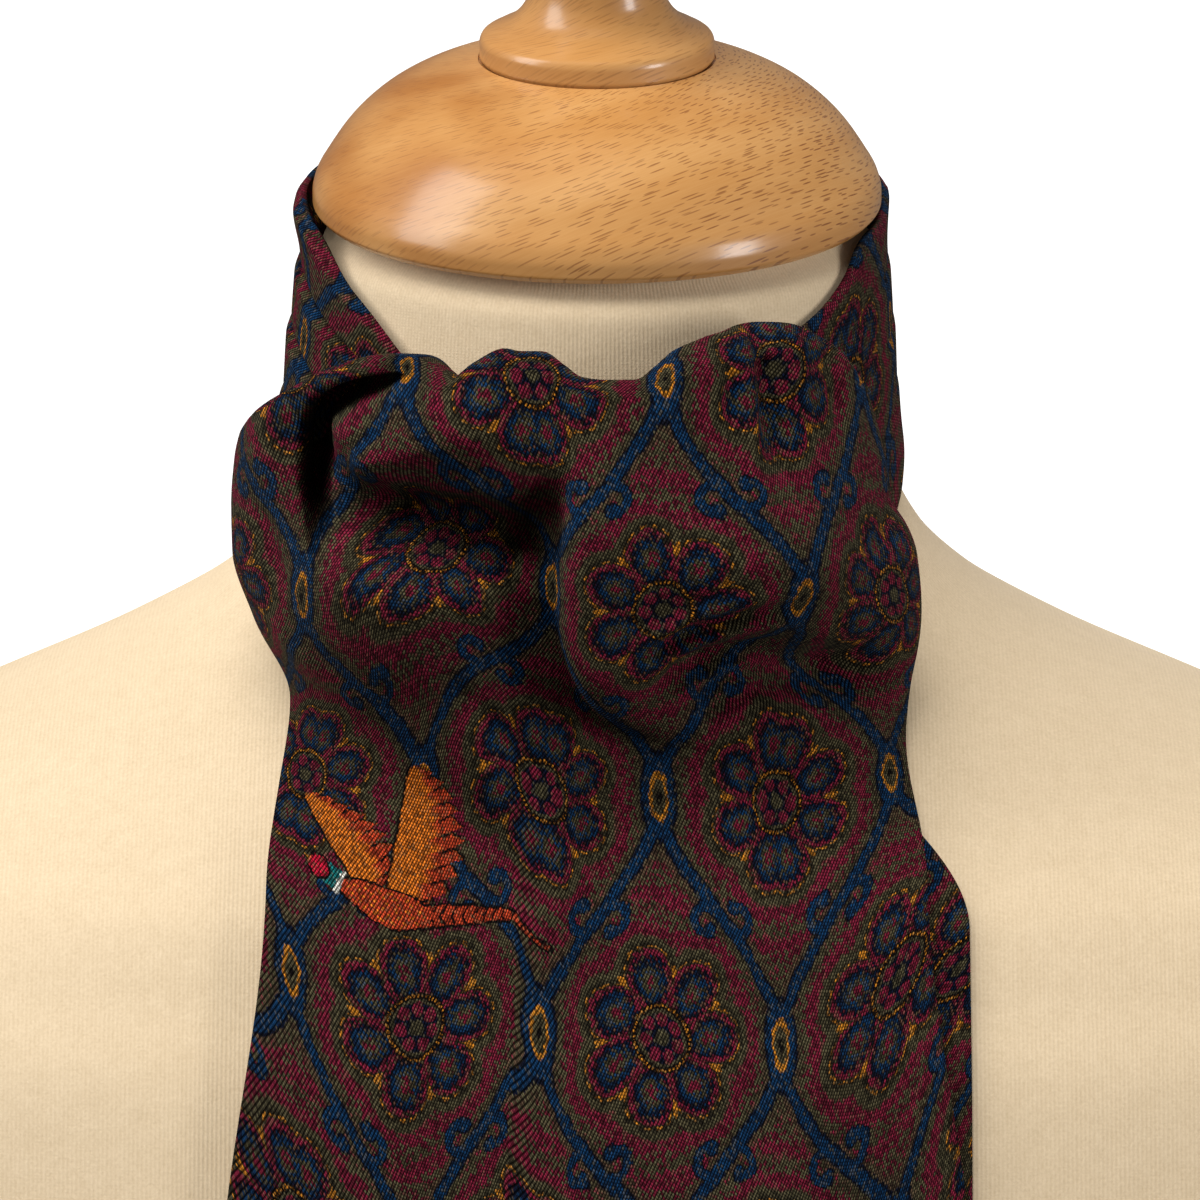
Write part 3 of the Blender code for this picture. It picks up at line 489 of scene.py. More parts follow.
def front_blade_surface(share, along, pit_share=1.0):
    """The front blade's outer side. along runs from the throat, over the crest, to the tip."""
    height, front_roll, back_roll, drop = crest_at(share)
    end = math.radians(ROLL_END_DEG)
    start_z = height - drop * (1 - math.sin(end))
    start, out_x, out_y = fall_point(share, start_z, 1.0, pit_share)
    plain, _, _ = fall_point(share, start_z, 0.0)
    out = np.stack([out_x, out_y, np.zeros_like(out_x)], axis=-1)
    crest = plain - out * (front_roll * math.cos(end))[..., None]

    # the roll, from the back over the crest to the front
    t = np.clip((along - RISE_SHARE) / (ROLL_SHARE - RISE_SHARE), 0, 1)
    angle = math.pi + (end - math.pi) * t
    reach = np.where(np.cos(angle) > 0, front_roll, back_roll) * np.cos(angle)
    roll = crest + out * reach[..., None]
    roll[..., 2] = height - drop + drop * np.sin(angle)
    roll = roll + (start - plain) * between(0.15, 1.0, t)[..., None]

    # the rise behind it: a tongue down to the throat in the middle, a short tuck at the sides
    back = crest - out * back_roll[..., None]
    back[..., 2] = height - drop
    tongue = 1 - between(*TONGUE_SHARE, np.abs(share))
    root = back - np.array([0, 0, RISE_TUCK])
    root[..., 0] *= 1 - (1 - THROAT_GATHER) * tongue
    root[..., 2] += (THROAT_LEVEL - root[..., 2]) * tongue
    neck_y = lying(root[..., 0], root[..., 2], CLOTH + LAY_GAP)
    root[..., 1] += np.maximum(neck_y - root[..., 1], 0) * tongue
    t = np.clip(1 - along / RISE_SHARE, 0, 1)[..., None]
    handle = (back[..., 2] - root[..., 2])[..., None] * np.array([0, 0, 1.0])
    rise = (
        back * (1 - t) ** 3
        + 3 * (back - handle * RISE_HANDLES[0]) * t * (1 - t) ** 2
        + 3 * (root + handle * RISE_HANDLES[1]) * t * t * (1 - t)
        + root * t**3
    )

    # the fall, down to the pointed end
    edge = np.abs(BLADE_HALF_WIDTH * share)
    end_z = BLADE_TIP + POINT_SLOPE * np.sqrt(edge**2 + POINT_ROUNDING)
    t = np.clip((along - ROLL_SHARE) / (1 - ROLL_SHARE), 0, 1)
    fall, _, _ = fall_point(share, start_z + (end_z - start_z) * t, 1.0, pit_share)

    on_rise = (along < RISE_SHARE)[..., None]
    on_roll = (along < ROLL_SHARE)[..., None]
    return np.where(on_rise, rise, np.where(on_roll, roll, fall))


def pleat_rise(share):
    """How proud the pleats stand at a share of the band's width."""
    pleats = table(PLEAT_COLUMNS, PLEATS)
    rise = np.zeros_like(share)
    for low, high, proud in zip(pleats["edge"], pleats["edge"][1:], pleats["proud"]):
        t = np.clip((share - low) / (high - low), 0, 1)
        crown = between(0, PLEAT_HOLLOW, t) * between(0, PLEAT_HOLLOW / 2, 1 - t)
        crown *= 1 - PLEAT_FALLS * t
        rise += proud * crown * ((share >= low) & (share < high))
    return rise


def band_surface(rows, angle, share):
    """The neckband's outer side. share runs from its upper edge to its lower one."""
    band = table(BAND_COLUMNS, rows)
    top, bottom, top_off, bottom_off, fullness, flare = (
        through(band["angle_deg"], band[name], np.abs(np.degrees(angle)))
        for name in BAND_COLUMNS[1:]
    )
    level = top + (bottom - top) * share
    lift = CLOTH + top_off + (bottom_off - top_off) * share + pleat_rise(share) * fullness
    lift = lift + flare * between(FLARE_FROM, FLARE_BY, level)
    held = np.minimum(level, NECK_TOP)
    point = bust_point(angle, held) + bust_normal(angle, held) * lift[..., None]
    point[..., 2] += level - held
    return point


def crossing_surface(angle, share):
    """The stretch that crosses the throat under the fall."""
    crossing = table(CROSSING_COLUMNS, CROSSING)
    degrees = np.degrees(angle)
    top, bottom = (
        through(crossing["angle_deg"], crossing[name], degrees) for name in ("top", "bottom")
    )
    level = top + (bottom - top) * share
    folds = CROSSING_FOLD_RISE * np.sin(np.pi * CROSSING_FOLDS * share) ** 2
    lift = CLOTH + CROSSING_STAND_OFF + folds
    return bust_point(angle, level) + bust_normal(angle, level) * lift[..., None]


def under_blade_surface(share, along):
    """The under blade, from beneath the crossing to its point, lying on the chest."""
    end_half = UNDER_HALF_WIDTH * np.abs(share)
    end_z = UNDER_TIP + POINT_SLOPE * np.sqrt(end_half**2 + POINT_ROUNDING)
    height = UNDER_TOP + (end_z - UNDER_TOP) * along
    wide = between(*UNDER_WIDENS, height)
    half = UNDER_HIGH_HALF_WIDTH + (UNDER_HALF_WIDTH - UNDER_HIGH_HALF_WIDTH) * wide
    x = half * share + UNDER_SHIFT * wide
    return np.stack([x, lying(x, height, CLOTH + LAY_GAP), height], axis=-1)


# ---- the camera

AIM = (0.0006, 0.0, 0.3416)
CAMERA_DISTANCE = 1.6
CAMERA_ELEVATION_DEG = 9.0
LENS, SENSOR = 240.0, 36.0
SEES_FROM, SEES_TO = 0.05, 60.0


def camera():
    made = bpy.data.cameras.new("camera")
    made.lens, made.sensor_width = LENS, SENSOR
    made.clip_start, made.clip_end = SEES_FROM, SEES_TO
    holder = bpy.data.objects.new("camera", made)
    up = math.radians(CAMERA_ELEVATION_DEG)
    holder.location = (
        AIM[0],
        AIM[1] - CAMERA_DISTANCE * math.cos(up),
        AIM[2] + CAMERA_DISTANCE * math.sin(up),
    )
    holder.rotation_euler = (math.pi / 2 - up, 0, 0)
    bpy.context.scene.collection.objects.link(holder)
    bpy.context.scene.camera = holder


# ---- shader sums


class Field:
    """A number that varies over a surface. Signs and sums on it add the Math nodes: see SUMS."""

    def __init__(self, finish, socket):
        self.finish = finish
        self.socket = socket

    def sum(self, operation, *values):
        sockets = dict(enumerate(values))
        made = self.finish.node("ShaderNodeMath", {"operation": operation}, sockets)
        return Field(self.finish, made.outputs[0])

    def __rsub__(self, other):
        return self.sum("SUBTRACT", other, self)

    def __neg__(self):
        return self * -1.0

    def wrapped(self, half):
        """Repeats from -half to half."""
        return self.sum("WRAP", self, half, -half)

    def step(self, low, high):
        """0 at low, 1 at high, smooth between."""
        made = self.finish.node(
            "ShaderNodeMapRange",
            {"interpolation_type": "SMOOTHSTEP"},
            {"Value": self, "From Min": low, "From Max": high},
        )
        return Field(self.finish, made.outputs[0])


SUMS = {  # what each sign or word does to a Field
    **{"__add__": "ADD", "__radd__": "ADD", "__sub__": "SUBTRACT", "__mul__": "MULTIPLY"},
    **{"__rmul__": "MULTIPLY", "__truediv__": "DIVIDE", "__pow__": "POWER"},
    **{"__abs__": "ABSOLUTE", "__lt__": "LESS_THAN", "__gt__": "GREATER_THAN"},
    **{"least": "MINIMUM", "most": "MAXIMUM", "floor": "FLOOR", "part": "FRACT"},
    **{"sine": "SINE", "cosine": "COSINE", "root": "SQRT", "angle_from": "ARCTAN2"},
}
for sign, operation in SUMS.items():
    setattr(Field, sign, lambda self, *others, done=operation: self.sum(done, self, *others))


class Finish:
    """One material and the nodes that make it."""

    def __init__(self, name, **plain):
        self.material = bpy.data.materials.new(name)
        self.material.use_nodes = True
        self.tree = self.material.node_tree
        self.shader = self.tree.nodes["Principled BSDF"]
        for socket, value in plain.items():
            self.shader.inputs[socket.replace("_", " ")].default_value = value

    def node(self, kind, settings=None, sockets=None):
        """A node of that type: its settings first, then values or links for its sockets."""
        made = self.tree.nodes.new(kind)
        for name, value in (settings or {}).items():
            setattr(made, name, value)
        for name, value in (sockets or {}).items():
            self.join(value, made.inputs[name])
        return made

    def join(self, value, socket):
        if isinstance(value, Field):
            value = value.socket
        if isinstance(value, bpy.types.NodeSocket):
            self.tree.links.new(value, socket)
        else:
            socket.default_value = value

    def show(self, name, value):
        self.join(value, self.shader.inputs[name])

    def place(self):
        """The place on the object, in metres."""
        return self.node("ShaderNodeTexCoord").outputs["Object"]

    def parts(self, vector):
        made = self.node("ShaderNodeSeparateXYZ", None, {0: vector})
        return [Field(self, socket) for socket in made.outputs]

    def vector(self, x, y, z=0.0):
        return self.node("ShaderNodeCombineXYZ", None, {0: x, 1: y, 2: z}).outputs[0]

    def moved(self, vector, scale=(1, 1, 1), shift=(0, 0, 0)):
        sockets = {"Vector": vector, "Scale": scale, "Location": shift}
        return self.node("ShaderNodeMapping", None, sockets).outputs[0]

    def noise(self, vector, scale, detail=2.0, roughness=0.5):
        sockets = {"Vector": vector, "Scale": scale, "Detail": detail, "Roughness": roughness}
        return Field(self, self.node("ShaderNodeTexNoise", None, sockets).outputs[0])

    def chance(self, vector):
        """A number from 0 to 1 for each place, unlike its neighbours'."""
        made = self.node("ShaderNodeTexWhiteNoise", {"noise_dimensions": "3D"}, {"Vector": vector})
        return Field(self, made.outputs["Value"])

    def mix(self, share, first, second, way="MIX"):
        """A colour between two others, or one laid on the other in another way."""
        settings = {"data_type": "RGBA", "blend_type": way}
        return self.node("ShaderNodeMix", settings, {0: share, 6: first, 7: second}).outputs[2]

    def ramp(self, value, stops):
        """A colour looked up along a row of (place, colour) stops."""
        made = self.node("ShaderNodeValToRGB", None, {0: value})
        elements = made.color_ramp.elements
        for _ in stops[len(elements) :]:
            elements.new(0.5)
        for element, (place, colour) in zip(elements, stops):
            element.position = place
            element.color = colour
        return made.outputs[0]

    def bump(self, height, depth, strength):
        sockets = {"Height": height, "Distance": depth, "Strength": strength}
        return self.node("ShaderNodeBump", None, sockets).outputs[0]


def tint(red, green, blue):
    """A colour from its 0 to 255 parts, as light."""
    light = [((part / 255 + 0.055) / 1.055) ** 2.4 for part in (red, green, blue)]
    return (*light, 1.0)


# ---- the printed twill

PLACE = "cloth_place"  # the attribute that holds each point's place on the flat cloth, in metres
WALE, FLOAT_LONG, WALE_DEG = 0.62, 0.54, 62.0  # the twill's ridges: pitch, thread, slope
STAGGER = 0.41  # each ridge's threads start this share of a thread past its neighbour's
LATTICE_WIDE, LATTICE_HIGH = 52.0, 86.0
LATTICE_AT = (13.0, -51.0)  # a flower's middle, from the middle of the crest
EYE_WIDE, EYE_HIGH = 3.3, 7.6
CURL = 2.4  # the little hooks beside the lattice
ECHO_WIDE, TEETH = 6.2, 57.0  # the ground's bands round a flower, and the teeth of their edges
PETALS, PETAL_AT, PETAL_LONG, PETAL_WIDE = 7, 10.0, 6.2, 4.7
CORE, DOTS, DOT_AT, DOT = 5.6, 7, 3.3, 1.2
TICK_AT, DASHES = 12.4, 42.0  # the gold ticks between the petals, and the gold line's dashes
FLOWER_CLEAR = (14.6, 16.4)  # from here outwards the lattice is printed
BIRD_AT, BIRD_EVERY, BIRD_SIZE = (-45.0, -116.0), (156.0, 172.0), 1.2
WINGS = (  # root, aim in degrees, length, width, bend
    ((-2.0, 0.5), 116, 19.0, 8.0, 0.016),
    ((0.5, 0.0), 66, 22.0, 10.0, 0.014),
)
FEATHER, WING_LEAD, OUTLINE = 2.2, 2.3, 0.5
ROUND = 2 * math.pi

INK = {
    "burgundy": tint(118, 31, 52),
    "olive": tint(76, 70, 50),
    "shade": tint(18, 14, 14),
    "navy": tint(14, 20, 38),
    "blue": tint(18, 52, 86),
    "gold": tint(188, 120, 36),
    "orange": tint(216, 116, 36),
    "rust": tint(186, 66, 38),
    "teal": tint(24, 118, 118),
    "red": tint(190, 28, 54),
    "white": tint(226, 222, 210),
}


def printed(paint, colour, *layers):
    """Inks printed over a colour one after the other, each where its mask says."""
    for mask, ink in layers:
        colour = paint.mix(mask, colour, INK[ink])
    return colour


def band(value, low, high, soft=0.03):
    """1 where a value is between two others."""
    return value.step(low - soft, low + soft) * value.step(high + soft, high - soft)


def ground(paint, away, angle, turn, fleck, speckle):
    """The ground: bands that echo the flowers, with toothed edges. Gives the teeth too."""
    tooth = (angle * TEETH).sine() * 0.35 + (fleck - 0.5) * 2.4
    echo = (away + turn * 4.0 + tooth + 0.4) / ECHO_WIDE
    warm = ((echo * ROUND).sine() + (speckle - 0.5) * 1.5).step(-0.5, -0.3)
    return paint.mix(warm, INK["olive"], INK["burgundy"]), tooth


def lattice(paint, colour, x, y, corner, clear, tooth):
    """Two waves that kiss between the flowers, with an eye at each kiss and little hooks."""
    wave = ROUND / LATTICE_HIGH
    lean = (y * wave).sine() * (LATTICE_WIDE / 4 * wave)
    line = abs(abs(x) - ((y * wave).cosine() + 1.0) * (LATTICE_WIDE / 4))
    line = line / (lean * lean + 1.0).root()
    eyes = [
        (across / EYE_WIDE) ** 2 + (up / EYE_HIGH) ** 2
        for across, up in ((corner[0], y), (x, corner[1]))
    ]
    eye = eyes[0].least(eyes[1]).root()
    bud_x, bud_y = abs(x) - LATTICE_WIDE / 4, abs(y) - LATTICE_HIGH / 4
    off_line = bud_x * 0.72 + bud_y * 0.69
    beside = bud_x * -0.69 + bud_y * 0.72
    side = (off_line > 0.0) * 2.0 - 1.0
    curl_x, curl_y = beside * side + CURL, abs(off_line) - CURL - 0.3
    curl = abs((curl_x * curl_x + curl_y * curl_y).root() - CURL) / 0.85
    opening = (curl_x > 0.4) * (curl_y < 0.9)
    ball = ((curl_x - 2.1) ** 2 + (curl_y - 0.9) ** 2).root() / 1.35
    bud = (curl + opening * 9.0).least(ball)
    halo = (line + tooth * 0.6).step(2.9, 2.3).most(eye.step(1.6, 1.45))
    rim = line.step(1.6, 1.3).most(eye.step(1.2, 1.1)).most(bud.step(1.3, 1.12))
    body = line.step(1.12, 0.92).most(eye.step(1.04, 0.96)).most(bud.step(1.0, 0.86))
    return printed(
        paint,
        colour,
        (halo * clear * 0.85, "olive"),
        (rim * clear, "navy"),
        (body * clear, "blue"),
        (eye.step(0.64, 0.58) * clear, "gold"),
        (eye.step(0.47, 0.41) * clear, "olive"),
        (eye.step(0.2, 0.12) * clear, "shade"),
    )


def flower(paint, colour, away, angle, turn, fleck, speckle):
    """A flower of round petals with a dotted middle, and gold ticks between its petals."""
    lie, off = away * turn.cosine(), away * turn.sine()
    wide = PETAL_WIDE * (1.0 + (lie - PETAL_AT) * 0.035)
    petal = (((lie - PETAL_AT) / PETAL_LONG) ** 2 + (off / wide) ** 2).root()
    core = away / CORE
    dot_turn = abs((angle + 0.3).wrapped(math.pi / DOTS))
    dot_x, dot_y = away * dot_turn.cosine() - DOT_AT, away * dot_turn.sine()
    dots = (dot_x * dot_x + dot_y * dot_y).root().step(DOT + 0.15, DOT - 0.15)
    tick_turn = abs(turn - ROUND / PETALS / 2)
    tick = ((away - TICK_AT) / 1.3) ** 2 + (away * tick_turn.sine() / 0.55) ** 2
    dash = ((angle * DASHES).sine() + (fleck - 0.5) * 1.4).step(-0.5, 0.0)
    blurry = petal + (fleck - 0.5) * 0.34
    return printed(
        paint,
        colour,
        (petal.step(1.42, 1.3), "olive"),
        (petal.step(1.17, 1.1).most(core.step(1.3, 1.24)) * 0.6, "shade"),
        (petal.step(0.96, 0.9) * speckle.step(0.95, 0.8), "burgundy"),
        (petal.step(0.78, 0.72) * 0.7, "shade"),
        (blurry.step(0.74, 0.68), "navy"),
        (blurry.step(0.60, 0.54) * 0.85, "blue"),
        (blurry.step(0.40, 0.34), "olive"),
        (blurry.step(0.2, 0.14), "burgundy"),
        (band(petal, 0.99, 1.04, 0.025) * core.step(1.02, 1.1) * dash, "gold"),
        (tick.step(1.1, 0.8), "gold"),
        (core.step(1.12, 1.06), "shade"),
        (band(core, 0.95, 1.03) * dash, "gold"),
        (core.step(0.9, 0.84), "olive"),
        (core.step(0.8, 0.74), "navy"),
        (dots, "burgundy"),
        (core.step(0.3, 0.22), "olive"),
    )


def print_colour(paint, u, v, fleck, speckle):
    """The print: flowers in an ogee lattice on a two-colour ground, and a flying game bird."""
    x = (u - LATTICE_AT[0]).wrapped(LATTICE_WIDE / 2)
    y = (v - LATTICE_AT[1]).wrapped(LATTICE_HIGH / 2)
    # the nearer of the two flowers, of the cell's middle or of its corners
    corner = abs(x) - LATTICE_WIDE / 2, abs(y) - LATTICE_HIGH / 2
    swap = (x * x + y * y) > (corner[0] * corner[0] + corner[1] * corner[1])
    near_x = x + swap * (corner[0] - x)
    near_y = y + swap * (corner[1] - y)
    away = (near_x * near_x + near_y * near_y).root()
    angle = near_y.angle_from(near_x)
    turn = abs(angle.wrapped(ROUND / PETALS / 2))
    colour, tooth = ground(paint, away, angle, turn, fleck, speckle)
    colour = lattice(paint, colour, x, y, corner, away.step(*FLOWER_CLEAR), tooth)
    colour = flower(paint, colour, away, angle, turn, fleck, speckle)
    return bird(paint, colour, u, v)


def wing(paint, colour, x, y, at, aim_deg, long, wide, bend):
    """A raised wing: smooth in front, toothed behind."""
    aim = math.radians(aim_deg)
    dx, dy = x - at[0], y - at[1]
    lie = dx * math.cos(aim) + dy * math.sin(aim)
    off = dx * math.sin(aim) - dy * math.cos(aim) + lie * lie * bend
    share = lie / long
    saw = (lie / FEATHER - off * 0.16).part()
    full = (share * (1.0 - share) * 4.0).most(0.0001) ** 0.55
    trail = full * wide * (1.0 - saw * 0.26)
    lead = full * WING_LEAD
    within = share.step(0.0, 0.03) * share.step(1.0, 0.97)
    rim, mask = (
        (trail + more - off).step(-0.1, 0.3) * (off + lead + more).step(-0.1, 0.3) * within
        for more in (OUTLINE, 0.0)
    )
    deep = off / (full * wide)
    barbs = saw.step(0.72, 0.9) * deep.step(0.46, 0.6)
    return printed(
        paint,
        colour,
        (rim, "shade"),
        (mask, "orange"),
        (mask * (deep + saw * 0.2).step(0.42, 0.66), "rust"),
        (mask * barbs, "shade"),
    )


def bird(paint, colour, u, v):
    """A rising game bird of plain shapes: two spread wings, a round body and a long tail."""
    x = (u - BIRD_AT[0]).wrapped(BIRD_EVERY[0] / 2) / BIRD_SIZE
    y = (v - BIRD_AT[1]).wrapped(BIRD_EVERY[1] / 2) / BIRD_SIZE
    for row in WINGS:
        colour = wing(paint, colour, x, y, *row)
    # the tail, which runs out to the right and narrows
    lie = (x - 3.0) * 0.985 + (y + 0.6) * -0.17
    off = abs((x - 3.0) * 0.17 + (y + 0.6) * 0.985)
    edge = 1.9 - lie * 0.065
    body = ((x * 0.98 + y * -0.17) / 7.4) ** 2 + ((x * 0.17 + y * 0.98) / 2.8) ** 2
    within = lie.step(0.0, 1.0)
    rim = (edge + OUTLINE - off).step(-0.1, 0.2) * within * lie.step(26.6, 26.2)
    tail = (edge - off).step(-0.1, 0.2) * within * lie.step(26.0, 25.6)
    bars = (lie * 3.4 - off * 2.0).sine().step(0.6, 0.9) * tail * body.step(1.0, 1.1)
    scale = (x * 3.4 + (y * 2.6).sine()).sine() * (y * 3.8).sine()
    # the neck and head, which point to the left
    neck_lie = (x + 7.4) * -0.94 + (y - 1.4) * 0.34
    neck_off = abs((x + 7.4) * 0.34 + (y - 1.4) * 0.94)
    neck = neck_off.step(2.0, 1.7) * neck_lie.step(-0.2, 0.1) * neck_lie.step(3.9, 3.6)
    collar = neck_off.step(2.3, 2.0) * band(neck_lie, -0.3, 0.5, 0.1)
    head = (((neck_lie - 4.4) / 2.1) ** 2 + (neck_off / 1.8) ** 2).root()
    beak = (neck_off + (neck_lie - 6.0) * 0.5).step(0.7, 0.5) * neck_lie.step(5.8, 6.2)
    return printed(
        paint,
        colour,
        (rim.most(body.step(1.3, 1.2)), "shade"),
        (tail.most(body.step(1.04, 0.98)), "rust"),
        (bars, "shade"),
        (body.step(0.9, 0.8) * scale.step(0.35, 0.6), "orange"),
        (neck, "teal"),
        (collar, "white"),
        (head.step(1.25, 1.15), "shade"),
        (head.step(1.0, 0.9), "red"),
        (beak * neck_lie.step(8.0, 7.6), "gold"),
    )


def twill():
    """Printed twill: steep ridges of floating threads, the print a little broken by them, and
    painted shade in the grooves between the ridges.
    """
    nap = {"Sheen_Weight": 0.015, "Sheen_Roughness": 0.4}
    paint = Finish("printed_twill_shown", Roughness=0.88, Specular_IOR_Level=0.05, **nap)
    place = paint.node("ShaderNodeAttribute", {"attribute_name": PLACE}).outputs["Vector"]
    u, v, _ = paint.parts(place)
    u, v = u * 1000.0, v * 1000.0
    slope = math.radians(WALE_DEG)
    drift = paint.noise(place, 60.0, 1.0) - 0.5
    across = (u * math.sin(slope) - v * math.cos(slope)) / WALE + drift * 0.6
    along = (u * math.cos(slope) + v * math.sin(slope)) / FLOAT_LONG + across * 0.5
    wale = across.floor()
    thread = (along + wale * STAGGER).floor()
    fleck = paint.chance(paint.vector(wale, thread))
    other = paint.chance(paint.vector(thread, wale, 7.0))
    spread = []  # the print's edges waver, and jump a little from thread to thread
    for start, chance, shift in ((u, fleck, (0.31, 0, 0)), (v, other, (0, 0.47, 0))):
        waver = paint.noise(paint.moved(place, shift=shift), 190.0, 1.0) - 0.5
        spread.append(start + (chance - 0.5) * 0.42 + waver * 1.3)
    colour = print_colour(paint, *spread, fleck, other)

    ridge = (across.part() * ROUND - math.pi).cosine() * 0.5 + 0.5
    length = ((along + wale * STAGGER).part() * ROUND - math.pi).cosine() * 0.5 + 0.5
    float_up = ridge.step(0.02, 0.8) * (0.26 + length.step(0.02, 0.7) * 0.74)
    colour = paint.mix(other.step(0.35, 0.95) * 0.62, colour, INK["shade"])
    colour = paint.mix(fleck.step(0.80, 0.86) * 0.45, colour, INK["olive"])
    # painted shade: the colour is multiplied down in the grooves between the ridges and where each
    # thread dips at the ends of its float (float_up); fleck gives each thread its own tone, and
    # wash adds a slow random tone
    groove_shade_and_thread_tone = 0.13 + float_up * (0.76 + fleck * 1.04)
    wash = 0.9 + paint.noise(place, 22.0, 3.0) * 0.22
    for shade in (groove_shade_and_thread_tone, wash):
        colour = paint.mix(1.0, colour, paint.vector(shade, shade, shade), "MULTIPLY")
    paint.show("Base Color", colour)
    paint.show("Roughness", 0.9 - ridge * 0.16 + fleck * 0.06)
    height = ridge.root() * (0.56 + length * 0.44) + fleck * 0.12
    paint.show("Normal", paint.bump(height, 0.00030, 0.85))
    return paint.material


# ---- jersey, wood, thread, floor

# the jersey's paler and deeper cream, mixed by painted shade in the knit's grooves and by random
# tone
JERSEY = {"light": tint(230, 208, 175), "deep": tint(198, 174, 138)}
KNIT_WALE, KNIT_COURSE, KNIT_NECK_RADIUS = 0.84, 0.56, 58.0
NECK_KNIT_FROM, SIDE_KNIT_FROM = (0.332, 0.352), (0.120, 0.170)  # metres up, and out to the side


def jersey():
    """Cream cotton jersey: fine upright wales of knitted loops, with painted shade in the grooves
    between them.
    """
    paint = Finish("jersey_shown", Roughness=0.88, Specular_IOR_Level=0.2, Sheen_Weight=0.12)
    place = paint.place()
    x, y, z = paint.parts(place)
    round_neck = x.angle_from(-y) * KNIT_NECK_RADIUS
    on_neck = z.step(*NECK_KNIT_FROM)
    side = abs(x).step(*SIDE_KNIT_FROM)
    heights = []
    for across in (round_neck, x * 1000.0, y * 1000.0):
        wale = (across * (ROUND / KNIT_WALE)).cosine() * 0.5 + 0.5
        loop = (z * (ROUND * 1000.0 / KNIT_COURSE) + wale * 1.6).cosine() * 0.5 + 0.5
        heights.append(wale * 0.72 + loop * 0.28 * wale)
    body = heights[1] + side * (heights[2] - heights[1])
    height = body + on_neck * (heights[0] - body)
    mottle = paint.noise(place, 240.0, 3.0, 0.6)
    yarn = paint.noise(place, 1700.0, 2.0, 0.6)
    slow = paint.noise(place, 14.0, 2.0)
    # painted shade: the colour is darker in the grooves between the wales and loops, by their
    # height; mottle, yarn and slow vary the tone at random
    shade = 0.50 + height * 0.22 + (mottle - 0.5) * 0.4 + (yarn - 0.5) * 0.9 + (slow - 0.5) * 0.3
    paint.show("Base Color", paint.mix(shade.most(0.0).least(1.0), JERSEY["deep"], JERSEY["light"]))
    paint.show("Normal", paint.bump(height * 0.6 + mottle * 0.4 + yarn * 0.8, 0.00013, 0.6))
    return paint.material


WOOD = {
    "pale": tint(216, 163, 101),
    "honey": tint(200, 142, 78),
    "amber": tint(178, 114, 48),
    "fleck": tint(122, 64, 24),
}
GRAIN_RISE, GRAIN_LEVELS = 0.62, 0.0056  # the grain's slope on the left, and how it levels out
GRAIN_BENT = 50.0  # how far round to the right it levels out


# a cell's length and height, the share of cells that hold a mark, and a seed
LONG_RAYS, SHORT_RAYS = (5.4, 1.05, 0.72, 1.0), (4.2, 1.4, 0.45, 11.0)
RAY_THICK = 0.17


def rays(paint, along, across, long, high, share, seed):
    """Short thin marks along the grain, in staggered rows: one at most in each cell."""
    row = (across / high).floor()
    shifted = along / long + paint.chance(paint.vector(row, seed))
    cell = shifted.floor()
    there = paint.chance(paint.vector(row, cell, seed + 3.0))
    drift = paint.chance(paint.vector(cell, row, seed + 5.0))
    lie = (shifted.part() - 0.5) / (0.15 + drift * 0.2)
    off = ((across / high).part() - 0.5 + (there - 0.5) * 0.4) * high / RAY_THICK
    chosen = (there * 7.7).part().step(1 - share, 1.02 - share)
    return (lie * lie + off * off).step(1.5, 0.6) * chosen


def beech(name, girth, mottled):
    """Lacquered beech: soft growth bands and short dark flecks along the grain."""
    lacquer = {"Coat_Weight": 0.75, "Coat_Roughness": 0.2, "Coat_IOR": 1.5}
    paint = Finish(name, Roughness=0.42, Specular_IOR_Level=0.4, **lacquer)
    x, y, z = paint.parts(paint.moved(paint.place(), scale=(1000, 1000, 1000)))
    along = x.angle_from(-y) * girth
    bent = along.most(0.0).least(GRAIN_BENT)
    past = (along - GRAIN_BENT).most(0.0)
    up = z - (x * x + y * y).root() * 0.75
    across = up - along * GRAIN_RISE + bent * bent * GRAIN_LEVELS + past * GRAIN_RISE
    waver = paint.noise(paint.vector(x * 0.02, y * 0.02, z * 0.02), 1.0, 2.0) - 0.5
    slow = paint.noise(paint.vector(along * 0.02 + waver, across * 0.06, 0.0), 1.0, 2.0, 0.4)
    bands = ((x * 0.21 + y * 0.12 + waver * 14.0) * 1.25).sine() * 0.5 + 0.5
    fine = paint.noise(paint.vector(along * 0.12, across * 1.9, 0.0), 1.0, 3.0, 0.6)
    left = x.step(-6.0, -34.0)
    tone = slow * 0.62 + (bands * 0.26 + 0.1) * left + fine * 0.30
    colour = paint.ramp(
        tone, ((0.26, WOOD["pale"]), (0.54, WOOD["honey"]), (0.88, WOOD["amber"]))
    )
    patch = paint.noise(paint.vector(along * 0.05, across * 0.1, 0.0), 1.0, 2.0)
    marks = rays(paint, along, across, *LONG_RAYS)
    marks = marks.most(rays(paint, along + 3.1, across + 0.6, *SHORT_RAYS) * 0.8)
    marks = marks * (0.5 + patch.step(0.25, 0.6) * 0.5) * (1.0 - left * 0.5) * mottled
    colour = paint.mix(marks * (0.62 + x.step(0.0, 50.0) * 0.2), colour, WOOD["fleck"])
    paint.show("Base Color", colour)
    paint.show("Roughness", 0.38 + fine * 0.14)
    paint.show("Normal", paint.bump(fine * 0.4 - marks * 0.4, 0.00004, 0.12))
    return paint.material


